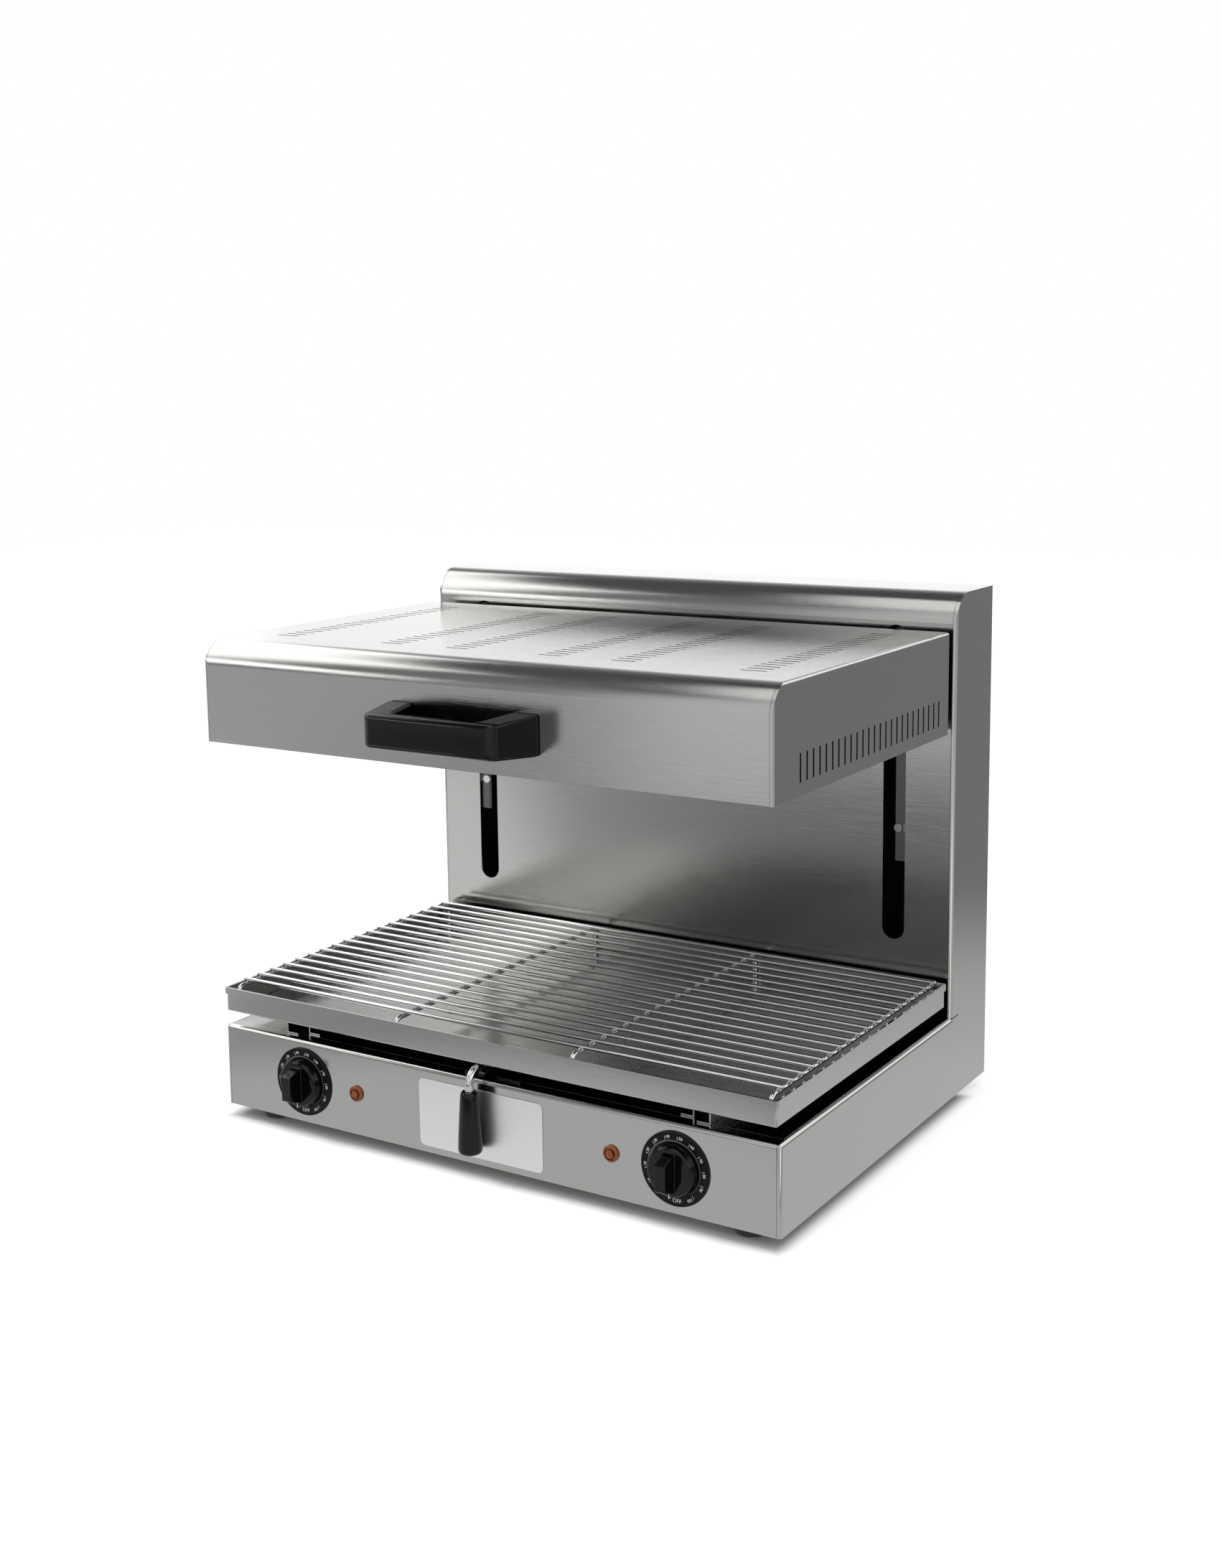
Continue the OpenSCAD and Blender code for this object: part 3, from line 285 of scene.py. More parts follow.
# The heaters' sheath has oxidised: brownish grey, without a mirror.
sheath = moulded("oxidised_heater_sheath", "#4a4644", 0.46, 0.03 * MM, 1.5 * MM)
# Screen printed ink, pressed flat: grey and matt.
grey_ink = moulded("grey_screen_printed_ink", "#6f7170", 0.6, 0.01 * MM)
# The moulded step in a lamp's lens lies in its own shade.
lens_groove = moulded("amber_lens_in_its_own_shade", "#42140a", 0.3)
print("moulded: marks", round(MARKS / MM, 1), "mm wide")

# %% [markdown]
# ## Mat, lens and ink
# The mat over the reflector is woven glass fibre, matt and pale. A pilot lamp's lens is amber
# polycarbonate whose facets spread the light. The figures are pale screen printed ink, with the
# small specks that the screen leaves.

# %% Woven mat
WEAVE = 7 * MM
mat, tree, point = new_material("woven_glass_fibre_mat")
weave = add(tree, "TexWave", Vector=point, Scale=1 / WEAVE, bands_direction="DIAGONAL",
            Distortion=1.0)
tint = add(tree, "ValToRGB", Fac=weave, stops=((0.2, linear("#c4bfae")), (0.8, linear("#ece8dc"))))
add(tree, "OutputMaterial", Surface=add(
    tree, "BsdfPrincipled", Base_Color=tint, Roughness=0.9, Sheen_Weight=0.2,
    Normal=add(tree, "Bump", Height=weave, Distance=0.5 * MM)))
print("mat: a yarn every", round(WEAVE * WAVE_REPEAT / MM, 1), "mm")

# %% Amber lens and pale ink
FACET = 2.4 * MM
lens, tree, point = new_material("amber_polycarbonate_lens")
facets = add(tree, "TexVoronoi", Vector=point, Scale=1 / FACET)
add(tree, "OutputMaterial", Surface=add(
    tree, "BsdfPrincipled", Base_Color=linear("#964b08"), Roughness=0.14, Transmission_Weight=0.2,
    Emission_Color=linear("#ff8a10"), Emission_Strength=0.01,
    Normal=add(tree, "Bump", Height=facets, Distance=0.15 * MM)))

SPECK = 0.4 * MM
ink, tree, point = new_material("pale_screen_printed_ink")
grit = add(tree, "TexNoise", Vector=point, Scale=1 / SPECK, Detail=2.0)
tint = add(tree, "ValToRGB", Fac=grit, stops=((0.2, linear("#c9cac8")), (0.8, linear("#e6e6e4"))))
add(tree, "OutputMaterial", Surface=add(
    tree, "BsdfPrincipled", Base_Color=tint, Roughness=0.6))
print("lens: facets of", round(FACET / MM, 1), "mm, ink: specks of", round(SPECK / MM, 1), "mm")
print("materials", len(bpy.data.materials))

# %% [markdown]
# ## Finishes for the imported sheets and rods
# Each sheet takes the steel whose grain runs the way its maker would cut it: along the width for
# fronts and tops, front to back for the sides.

# %% Paint every node
finish_of = {
    "satin_steel": steel_across, "bright_steel": steel_bright, "plated_steel": zinc_steel_painted_shade,
    "ground_rod": ground_rod, "chromed_wire": chromed_wire, "reflector": reflector,
    "black_gloss": phenolic, "black_dial": dial_black, "black_rubber": rubber,
    "amber_lens": lens, "plain_plate": plate_silver, "cream_plastic": cream,
    "ceramic": ceramic, "heater_sheath": sheath, "fibre_mat": mat, "iron_weight": iron,
    "cable_steel": cable}
grain_back = ("side_panel_left", "side_panel_right", "hood_side_left", "hood_side_right")
record = frame["record"]
slot_of = {part["node"]: part["material_slot"] for part in record["subparts"]}
body_of = {node: body for body, held in record["behaviour"]["bodies"].items() for node in held}


def finish_for(name):
    """The finish of a node: by the way its grain runs, or by the record's slot."""
    return steel_to_back if name in grain_back else finish_of[slot_of[name]]


for name, node in nodes.items():
    node.data.materials.clear()
    node.data.materials.append(finish_for(name))
print("painted", len(nodes), "nodes with", len(set(slot_of.values())), "finishes")

# %% [markdown]
# ## A piece from a bmesh
# Every new piece below is shaped in a bmesh. One function turns it into an object, shades it
# smooth up to an angle, and lets it ride on the body that carries it.

# %% From bmesh to piece
EDGE_ANGLE = 30.0


def finished(bm, name, material, body, sharp=EDGE_ANGLE, weighted=False):
    """Makes a piece of a bmesh, shades it and, if it has one body, lets it ride on that."""
    mesh = bpy.data.meshes.new(name)
    bm.to_mesh(mesh)
    bm.free()
    mesh.materials.append(material)
    mesh.shade_smooth()
    mesh.set_sharp_from_angle(angle=math.radians(sharp))
    piece = bpy.data.objects.new(name, mesh)
    bpy.context.collection.objects.link(piece)
    if weighted:
        even = piece.modifiers.new("even_flats", "WEIGHTED_NORMAL")
        even.keep_sharp = True
        even.weight = 90
    if body:
        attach(piece, body)
    return piece


print("piece helper ready")

# %% [markdown]
# ## Folds that mirror smoothly
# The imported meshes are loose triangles, so a fold would mirror the room in flat strips. A copy
# whose triangles are merged can be shaded smoothly, and a Weighted Normal modifier keeps the large
# flats flat, so that only the folds turn the light. A sheet's long edges are deburred, and a bevel
# of a third of a millimetre catches the thin line of light that this gives.

# %% Merged copies
LONG_EDGE = 260 * MM
SQUARE_EDGE = 60.0  # degrees
SAME_SPOT = 0.002 * MM
SAME_FLAT = 0.4  # degrees


def merged(node, broken=0.0):
    """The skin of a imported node, its loose triangles joined and its long sharp edges broken."""
    bm = bmesh.new()
    bm.from_mesh(nodes[node].data)
    bmesh.ops.remove_doubles(bm, verts=bm.verts[:], dist=SAME_SPOT)
    bmesh.ops.dissolve_limit(bm, angle_limit=math.radians(SAME_FLAT), verts=bm.verts[:],
                             edges=bm.edges[:])
    if broken:
        rims = [edge for edge in bm.edges if edge.is_manifold and edge.calc_length() > LONG_EDGE
                and edge.calc_face_angle() > math.radians(SQUARE_EDGE)]
        bmesh.ops.bevel(bm, geom=rims, offset=broken * MM, segments=3, affect="EDGES", profile=0.5,
                        material=-1, clamp_overlap=True)
    return bm


def smooth_skin(node, edge=0.0, sharp=EDGE_ANGLE, rim=0.0):
    """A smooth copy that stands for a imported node, with its sharp edges rounded if asked."""
    piece = finished(merged(node, rim), node + "_skin", finish_for(node), body_of[node],
                     sharp, weighted=not edge)
    if edge:
        rounded = piece.modifiers.new("rounded_edges", "BEVEL")
        rounded.width = edge * MM
        rounded.segments = 3
        rounded.limit_method = "ANGLE"
        rounded.angle_limit = math.radians(sharp)
        rounded.harden_normals = True
    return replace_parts(piece, node)


# %% Skins of the sheets and of the turned and bent pieces
DEBURRED = 0.35
sheets = ["side_panel_left", "side_panel_right", "base_front_panel", "base_top_sheet",
          "column_front_sheet", "hood_cover", "hood_side_left", "hood_side_right", "drip_tray"]
turned = ["feet", "dial_plate_left", "dial_plate_right", "guide_rods", "weight_guide_rods",
          "weight_buffers", "pulley_left", "pulley_right", "cable_gland", "carriage_left",
          "carriage_right", "carriage_bolts", "cover_screws", "spindle_left", "spindle_right",
          "pull_rod", "heater_left", "heater_right", "heater_terminals", "cable_wraps",
          "grid_wires", "pilot_lamp_left", "pilot_lamp_right"]
skins = {name: smooth_skin(name, rim=DEBURRED) for name in sheets}
skins.update({name: smooth_skin(name) for name in turned})
print("smooth skins", len(skins))

# %% [markdown]
# ## Cables that run over their pulleys
# When the hood comes down its cables pay out, and the runs to the counterweight draw in. A stiff
# cable would poke out of the column. Here each run is a merged copy of the imported cable, fixed
# where it was imported. It belongs to two bodies, so it rides on neither.

# %% Cable runs between the pulleys and what hangs on them
for name, load in (("carriage_cables", "hood"), ("weight_cables", "counterweight")):
    low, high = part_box(name)
    run = finished(merged(name), name + "_run", finish_for(name), None)
    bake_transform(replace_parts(run, name))
    print(name, "length at rest", round((high.z - low.z) / MM), "mm")

# %% [markdown]
# ## Inner sides
# Only the outer side of a sheet was ground. The inner side keeps the dull skin of the mill, and its
# colour is darkened further as painted shade, so the vents and the slots look into darkness. Each
# sheet could be cut into two pieces, but a second material on some faces of one piece is enough. A
# face is known by the way it looks and, where that isn't enough, by its place in millimetres.

# %% A second finish for some faces of a skin
FACING = 0.5
TILTED = 0.3


def second_finish(name, finish, test):
    """Gives the faces of a skin that pass a test another finish, and counts them."""
    skin = skins[name]
    skin.data.materials.append(finish)
    slot = len(skin.data.materials) - 1
    count = 0
    for face in skin.data.polygons:
        if test(face.normal, face.center / MM):
            face.material_index = slot
            count += 1
    return count


def middle(name):
    """The middle of a node's box, in millimetres of the frame."""
    low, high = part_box(name)
    return (low + high) / 2 / MM


# %% Inner sides, darkened as painted shade
FRONT_FOLD = 60
for name in ("rear_cover", "reflector_pan"):
    skins[name] = smooth_skin(name)
pan = middle("reflector_pan")
inner = [
    second_finish("rear_cover", inner_side_painted_shade, lambda n, c: n.y < -FACING),
    second_finish("column_front_sheet", inner_side_painted_shade, lambda n, c: n.y > FACING or n.z < -FACING),
    second_finish("hood_cover", inner_side_painted_shade, lambda n, c: n.z < -TILTED
                  or n.y > TILTED and c.y + MID_Y < FRONT_FOLD),
    second_finish("reflector_pan", inner_side_painted_shade, lambda n, c: n.z > TILTED
                  or n.x * c.x > FACING * abs(c.x) or n.y * (c.y - pan.y) > 0)]
for side, way in SIDES:
    for name in ("side_panel_", "hood_side_"):
        inner.append(second_finish(name + side, inner_side_painted_shade, lambda n, c: -way * n.x > FACING))
print("inner faces", inner)

# %% [markdown]
# ## Punched edges, hem and lens grooves
# The walls of the vents are torn by the punch and rough, and are painted near black as the shade
# inside the vents. The hem round the tray's rim is bent right over, which opens its grain. The lens
# of a pilot lamp has a moulded groove round its middle, painted a darker amber as its shade.

# %% Walls of the vents, painted near black as shade
EDGE_ON = 0.1
OVER_MIDDLE = 25
TOP_VENTS_Y = (30, 340)
SIDE_VENTS_Y = (37, 330)
SIDE_VENTS_Z = (371, 395)
hood_z = middle("hood_cover").z
walls = [second_finish("hood_cover", vent_wall_painted_shade, lambda n, c: abs(n.z) < EDGE_ON
                       and c.z > hood_z + OVER_MIDDLE
                       and TOP_VENTS_Y[0] < c.y + MID_Y < TOP_VENTS_Y[1])]
for side, _ in SIDES:
    walls.append(second_finish("hood_side_" + side, vent_wall_painted_shade, lambda n, c: abs(n.x) < EDGE_ON
                               and SIDE_VENTS_Z[0] < c.z - FOOT < SIDE_VENTS_Z[1]
                               and SIDE_VENTS_Y[0] < c.y + MID_Y < SIDE_VENTS_Y[1]))
print("vent walls", walls)

# %% Hem of the tray and grooves of the lenses
HEM_HIGH = 6.2
SKIN_DEEP = 0.4
GROOVE = (3.6, 5.5)
low, high = (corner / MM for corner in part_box("drip_tray"))
hem = second_finish("drip_tray", hem_steel, lambda n, c: c.z > high.z - HEM_HIGH
                    and abs(n.z) < FACING
                    and (abs(c.x) > high.x - SKIN_DEEP or c.y < low.y + SKIN_DEEP))
grooves = []
for side, _ in SIDES:
    lamp = middle("pilot_lamp_" + side)
    grooves.append(second_finish(
        "pilot_lamp_" + side, lens_groove, lambda n, c: c.y + MID_Y < 0
        and GROOVE[0] < math.hypot(c.x - lamp.x, c.z - lamp.z) < GROOVE[1]))
print("hem", hem, "lens grooves", grooves)

# %% [markdown]
# ## Handle and knobs
# Phenolic leaves its mould with a round on every edge, which is where black gloss shows its lights.
# A Bevel modifier on a merged copy gives that line of light: nearly 3 mm on the hood's handle, as a
# hand wants it, and about half a millimetre on the knobs.

# %% Handle and knobs with rounded edges
HANDLE_ROUND, KNOB_ROUND, MOULD_ANGLE = 2.8, 0.6, 24
smooth_skin("hood_handle", edge=HANDLE_ROUND, sharp=MOULD_ANGLE)
for side, _ in SIDES:
    smooth_skin("knob_" + side, edge=KNOB_ROUND, sharp=MOULD_ANGLE)
print("handle rounded by", HANDLE_ROUND, "mm, knobs by", KNOB_ROUND, "mm")

# %% [markdown]
# ## The grip of the tray's pull rod
# The grip is turned in one piece, widest near its foot and with a hollow at its top where the rod
# enters. Its profile is drawn once, as radius and height, and spun round its axis.

# %% Turned grip
grip = [(0, 0), (7.2, 0), (9.2, 0.5), (10.4, 1.6), (10.95, 3.4), (11.0, 5.5), (10.8, 12.0),
        (8.6, 48.0), (8.3, 51.0), (8.0, 54.0), (7.5, 55.8), (6.4, 57.0), (4.3, 57.0), (4.3, 53.0),
        (0, 53.0)]
GRIP_Y, GRIP_LOW = -13, 16.0
bm = bmesh.new()
outline = [bm.verts.new((radius * MM, 0, height * MM)) for radius, height in grip]
for one, other in zip(outline, outline[1:]):
    bm.edges.new((one, other))
bmesh.ops.spin(bm, geom=bm.verts[:] + bm.edges[:], cent=(0, 0, 0), axis=(0, 0, 1),
               angle=math.tau, steps=48, use_merge=True)
bmesh.ops.remove_doubles(bm, verts=bm.verts[:], dist=0.001 * MM)
bmesh.ops.transform(bm, matrix=Matrix.Translation(at(0, GRIP_Y, GRIP_LOW)), verts=bm.verts[:])
bmesh.ops.recalc_face_normals(bm, faces=bm.faces[:])
piece = finished(bm, "pull_grip_turned", phenolic, "tray", 40)
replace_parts(piece, "pull_grip")
print("grip", len(piece.data.polygons), "faces")

# %% [markdown]
# ## Grid
# Eighteen chromed rods lie across four cross wires. Each is cropped to length, which leaves its end
# slightly rounded. One rod is made from a cone of equal ends with its rims bevelled, and is then
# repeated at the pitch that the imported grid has.

# %% Rods with rounded ends
ROD_COUNT, ROD_R, ROD_ROUND = 18, 2.0, 0.7
low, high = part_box("grid_rods")
rod_y0 = low.y / MM + MID_Y + ROD_R
rod_z = (low.z + high.z) / 2 / MM - FOOT
rod_pitch = ((high.y - low.y) / MM - 2 * ROD_R) / (ROD_COUNT - 1)
rods = bmesh.new()
bmesh.ops.create_cone(rods, cap_ends=True, segments=20, radius1=ROD_R * MM, radius2=ROD_R * MM,
                      depth=2 * high.x)
ends = [edge for edge in rods.edges if abs(edge.verts[0].co.z - edge.verts[1].co.z) < 1e-6]
bmesh.ops.bevel(rods, geom=ends, offset=ROD_ROUND * MM, segments=3, affect="EDGES", profile=0.5,
                material=-1)
bmesh.ops.transform(rods, verts=rods.verts[:], matrix=Matrix.Translation(
    at(0, rod_y0, rod_z)) @ Matrix.Rotation(math.pi / 2, 4, "Y"))
first_rod = rods.verts[:] + rods.edges[:] + rods.faces[:]
for i in range(1, ROD_COUNT):
    again = bmesh.ops.duplicate(rods, geom=first_rod)["geom"]
    bmesh.ops.translate(rods, vec=(0, i * rod_pitch * MM, 0),
                        verts=[v for v in again if isinstance(v, bmesh.types.BMVert)])
piece = finished(rods, "grid_rods_cropped", chromed_wire, "grid", 40)
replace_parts(piece, "grid_rods")
print("rods", ROD_COUNT, "pitch", round(rod_pitch, 2), "mm")

# %% [markdown]
# ## Welds
# Each rod is spot welded to each cross wire, and each weld presses a small bright lump out on both
# sides of the crossing. There are 144 of them, so each is a squeezed icosphere of only 20 faces,
# which is enough for a lump of a millimetre.

# %% Weld lumps
WIRE_IN, WELD_R, WELD_OUT, WELD_DOWN = 2.25, 1.0, 1.7, 1.9
squeeze = Matrix.Diagonal((1.5, 1.0, 0.9, 1.0))
wire_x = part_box("grid_wires")[1].x / MM - WIRE_IN
welds = bmesh.new()
for i in range(ROD_COUNT):
    for x in (-wire_x, -wire_x / 3, wire_x / 3, wire_x):
        for dy in (-WELD_OUT, WELD_OUT):
            lump = bmesh.ops.create_icosphere(welds, subdivisions=1, radius=WELD_R * MM)["verts"]
            bmesh.ops.transform(welds, matrix=Matrix.Translation(
                at(x, rod_y0 + i * rod_pitch + dy, rod_z - WELD_DOWN)) @ squeeze, verts=lump)
piece = finished(welds, "weld_lumps", chromed_wire, "grid", 60)
print("welds", len(piece.data.polygons), "faces")

# %% [markdown]
# ## Dial print
# Pale figures from 0 to 100 stand round each dial with their heads outwards, each beside a short
# tick, and OFF stands at the bottom. The figures come from Blender's own font, are turned into a
# mesh and only then put in their place. The print lies a few hundredths of a millimetre proud.

# %% Helpers for the print
DIAL_X, DIAL_Z = 202.0, 40.0
PRINT_Y = -2.06
BOLDER = 0.05


def text_mesh(words, size):
    """A flat mesh of words, centred, in millimetres high."""
    curve = bpy.data.curves.new(words, "FONT")
    curve.body = words
    curve.size = size * MM
    curve.offset = BOLDER * MM
    curve.align_x = curve.align_y = "CENTER"
    curve.resolution_u = 3
    holder = bpy.data.objects.new(words, curve)
    bpy.context.collection.objects.link(holder)
    bpy.context.view_layer.update()
    ready = holder.evaluated_get(bpy.context.evaluated_depsgraph_get())
    mesh = bpy.data.meshes.new_from_object(ready)
    bpy.data.objects.remove(holder)
    bpy.data.curves.remove(curve)
    return mesh


def put(bm, mesh, matrix):
    """Adds a flat mesh to a print."""
    mesh.transform(matrix)
    bm.from_mesh(mesh)
    bpy.data.meshes.remove(mesh)


def stroke(bm, matrix, width, tall):
    """Adds a flat stroke to a print, in millimetres."""
    flat = bmesh.ops.create_grid(bm, x_segments=1, y_segments=1, size=0.5)["verts"]
    size = Matrix.Diagonal((width * MM, tall * MM, 1, 1))
    bmesh.ops.transform(bm, matrix=matrix @ size, verts=flat)


def on_dial(x, turn, radius):
    """The place on a dial's face at a clockwise turn from the top, heads outwards."""
    stand = Matrix.Rotation(math.pi / 2, 4, "X")
    spin = Matrix.Rotation(math.radians(turn), 4, "Y")
    out = Matrix.Translation((0, 0, radius * MM))
    return Matrix.Translation(at(x, PRINT_Y, DIAL_Z)) @ spin @ out @ stand


print("print", round(-PRINT_Y, 2), "mm in front of the panel")

# %% [markdown]
# ## Figures, ticks and heat band
# A figure stands a few degrees past its tick, further if it has more digits. The grey band starts
# at 10, runs clockwise to 100 and thins as it goes. It is a row of narrow strokes, because each
# stroke then has its own width.

# %% Figures, ticks and band
figures = [("0", 236), ("10", 262), ("20", 289), ("30", 314), ("40", 341), ("50", 6), ("60", 31),
           ("70", 57), ("80", 84), ("90", 110), ("100", 140)]
FIGURE_SIZE, FIGURE_R, FIGURE_TURN = 3.7, 28.2, 6.5
TICK_SIZE, TICK_R = (0.4, 3.2), 27.6
OFF_SIZE, OFF_SPOT = 5.0, (2.2 * MM, -27.4 * MM, 0)
BAND_R, BAND_STROKES, STROKE_WIDTH = 24.2, 120, 0.55
BAND_FROM, BAND_TO, BAND_THICK, BAND_THIN = 262, 140 + 360, 1.6, 0.3

for side, way in SIDES:
    x = way * DIAL_X
    ink_bm = bmesh.new()
    for words, turn in figures:
        past = turn + FIGURE_TURN + 2 * (len(words) - 2)
        put(ink_bm, text_mesh(words, FIGURE_SIZE), on_dial(x, past, FIGURE_R))
    put(ink_bm, text_mesh("OFF", OFF_SIZE), on_dial(x, 0, 0) @ Matrix.Translation(OFF_SPOT))
    for words, turn in figures:
        stroke(ink_bm, on_dial(x, turn, TICK_R), *TICK_SIZE)
    finished(ink_bm, "dial_print_" + side, ink, "cabinet")

    band_bm = bmesh.new()
    for k in range(BAND_STROKES):
        share = k / (BAND_STROKES - 1)
        width = BAND_THICK * (1 - share) + BAND_THIN
        turn = BAND_FROM + share * (BAND_TO - BAND_FROM)
        stroke(band_bm, on_dial(x, turn, BAND_R + width / 2), STROKE_WIDTH, width)
    finished(band_bm, "dial_band_" + side, grey_ink, "cabinet")
print("figures", len(figures), "at radius", FIGURE_R, "mm, band of", BAND_STROKES, "strokes")

# %% [markdown]
# ## Pointers
# A pale line runs down the foot of each knob's bar to the figure that it points at. A mask in the
# knob's material could draw it, but a thin block let into the bar keeps its edges crisp, and it
# turns with the knob.

# %% Pointer line on each knob
POINTER_SIZE = (0.8, 5.6, 5.4)
POINTER_Y, POINTER_DOWN = -9.0, 19.6
for side, way in SIDES:
    line = bmesh.new()
    bmesh.ops.create_cube(line, size=1.0)
    bmesh.ops.transform(line, verts=line.verts[:], matrix=Matrix.Translation(
        at(way * DIAL_X, POINTER_Y, DIAL_Z - POINTER_DOWN)) @ Matrix.Diagonal(
            tuple(v * MM for v in POINTER_SIZE) + (1,)))
    finished(line, "pointer_" + side, ink, "knob_" + side)
print("pointers", POINTER_SIZE[0], "mm wide")

# %% [markdown]
# ## White table
# The grill stands on a white table in a white studio. A camera ray that meets the table sees white:
# the table's plain part is lit by the lamps and keeps the grill's shadow, and a glow lifts the rest
# to white. The glow is held back over a narrow band round the grill's foot, which paints a thin grey
# shade there that holds it to the table.
# A ray that the steel mirrors sees a glow painted on the table in place of its lit brightness:
# painted light and shade make it an even grey under and round the grill, paler in a slanting sweep
# from the front right to the back left, and dim far behind on the right. Light Path tells the two
# kinds of ray apart.

# %% Table top
TABLE = 12.0


def ray_kinds(tree):
    """Whether a ray comes from the camera, and whether it was mirrored or let through."""
    rays = add(tree, "LightPath").node.outputs
    bent = add(tree, "Math", operation="MAXIMUM", i0=rays["Is Glossy Ray"],
               i1=rays["Is Transmission Ray"])
    return rays["Is Camera Ray"], bent


floor_bm = bmesh.new()
bmesh.ops.create_grid(floor_bm, x_segments=1, y_segments=1, size=TABLE / 2)
floor_mesh = bpy.data.meshes.new("floor")
floor_bm.to_mesh(floor_mesh)
floor_bm.free()
floor = bpy.data.objects.new("floor", floor_mesh)
bpy.context.collection.objects.link(floor)
white_table, tree, point = new_material("white_table")
floor_mesh.materials.append(white_table)
seen, mirrored = ray_kinds(tree)
print("table", TABLE, "m wide")

# %% [markdown]
# ## What the steel sees of the table
# The brightness that a mirrored ray meets is painted light and shade, built up from soft patches.
# Each is a spot, the distance up to which it holds fully, the distance at which it ends, and its own
# brightness.

# %% The table in a mirrored ray


def with_patches(tree, point, glow, *patches):
    """Lays soft round patches over a brightness: (spot, full, end, brightness), in metres."""
    for spot, full, end, strength in patches:
        far = add(tree, "VectorMath", operation="DISTANCE", i0=point, i1=spot, out="Value")
        near = add(tree, "MapRange", Value=far, From_Min=end, From_Max=full,
                   interpolation_type="SMOOTHSTEP")
        glow = add(tree, "Mix", data_type="FLOAT", i0=near, i2=glow, i3=strength)
    return glow


across = add(tree, "SeparateXYZ", Vector=point)
# Pools of painted light and shade on the table, seen only in mirrored rays.
glow = with_patches(tree, point, 0.62, ((-1.0, -2.2, 0), 0.2, 0.9, 0.4))
aslant = add(tree, "VectorMath", operation="DOT_PRODUCT", i0=point, i1=(-0.78, 0.62, 0),
             out="Value")
aslant = add(tree, "MapRange", Value=aslant, From_Min=-0.3, From_Max=0.3)
sweep = add(tree, "ValToRGB", Fac=aslant,
            stops=((0.03, 0.25), (0.86, 1.02), (0.3, 0.34), (0.52, 0.44), (0.7, 0.5)))
close = add(tree, "MapRange", Value=across.node.outputs["Y"], From_Min=-1.5, From_Max=-1.15,
            interpolation_type="SMOOTHSTEP")
glow = add(tree, "Mix", data_type="FLOAT", i0=close, i2=glow, i3=sweep)
rightward = add(tree, "MapRange", Value=across, From_Min=0.28, From_Max=0.36,
                interpolation_type="SMOOTHSTEP")
glow = add(tree, "Mix", data_type="FLOAT", i0=rightward, i2=glow, i3=0.66)
glow = with_patches(tree, point, glow, ((1.3, 1.9, 0), 1.1, 1.75, 0.28),
                    ((2.6, 4.8, 0), 1.9, 2.7, 0.28), ((0.0, 0.0, 0), 0.42, 0.6, 0.74))
print("the mirrored table takes", len(tree.nodes), "nodes")

# %% [markdown]
# ## What the camera sees of the table
# The foot is a rectangle. How far a point lies past it is the larger of its distances past the two
# pairs of sides. The glow comes up over the two centimetres round the foot's edge, so that band is
# painted grey as shade.

# %% The table in a camera ray
FOOTPRINT = (0.296, 0.201, 0)
PAINTED_SHADE_ROUND_FOOT = (-0.006, 0.013)
past = add(tree, "VectorMath", operation="ABSOLUTE", i0=point)
past = add(tree, "SeparateXYZ", Vector=add(tree, "VectorMath", operation="SUBTRACT", i0=past,
                                           i1=FOOTPRINT))
past = add(tree, "Math", operation="MAXIMUM", i0=past, i1=past.node.outputs["Y"])
# Where the glow is held back round the foot, the table shows a painted shade.
away = add(tree, "MapRange", Value=past, From_Min=PAINTED_SHADE_ROUND_FOOT[0], From_Max=PAINTED_SHADE_ROUND_FOOT[1],
           interpolation_type="SMOOTHSTEP", To_Min=0.0, To_Max=0.55)
plain = add(tree, "BsdfDiffuse", Color=linear("#e4e4e2"))
lit = add(tree, "AddShader", i0=plain,
          i1=add(tree, "Emission", Color=(1, 1, 1, 1), Strength=away))
shown = add(tree, "MixShader", Fac=seen, i1=plain, i2=lit)
add(tree, "OutputMaterial", Surface=add(
    tree, "MixShader", Fac=mirrored, i1=shown,
    i2=add(tree, "Emission", Color=(1, 1, 1, 1), Strength=glow)))
print("full glow from", round(PAINTED_SHADE_ROUND_FOOT[1] / MM), "mm off the foot")

# %% [markdown]
# ## The room
# The world is white for the camera and even for soft light. For mirrored rays it is bright low
# behind on the left, dim at the front and dark overhead. On the right it is dim but for a bright
# band at middle height, which only the rounded folds and edges turn far enough up to mirror. One
# even grey would leave the steel flat, so this unevenness is what makes it look like metal.

# %% World
world = bpy.data.worlds.new("studio")
world.use_nodes = True
bpy.context.scene.world = world
tree = world.node_tree
tree.nodes.clear()
seen, mirrored = ray_kinds(tree)
direction = add(tree, "TexCoord")  # its first output is the ray's direction in a world
split = add(tree, "SeparateXYZ", Vector=direction).node.outputs
back_wall = add(tree, "MapRange", Value=split["Y"], From_Min=-0.1, From_Max=0.3,
                interpolation_type="SMOOTHSTEP")
right_side = add(tree, "MapRange", Value=split["X"], From_Min=-0.05, From_Max=0.1,
                 interpolation_type="SMOOTHSTEP")
low_wall = add(tree, "ValToRGB", Fac=split["Z"],
               stops=((0.1, 1.3), (0.8, 0.12), (0.38, 0.72), (0.6, 0.3)))
low_front = add(tree, "ValToRGB", Fac=split["Z"], stops=((0.1, 0.36), (0.8, 0.12), (0.5, 0.25)))
room = add(tree, "Mix", data_type="FLOAT", i0=back_wall, i2=low_front, i3=low_wall)
right_wall = add(tree, "ValToRGB", Fac=split["Z"],
                 stops=((0.12, 0.3), (0.75, 0.3), (0.24, 1.0), (0.55, 1.0)))
right_wall = add(tree, "MapRange", Value=right_wall, From_Min=0.3, To_Min=0.3, To_Max=1.6)
room = add(tree, "Mix", data_type="FLOAT", i0=right_side, i2=room, i3=right_wall)
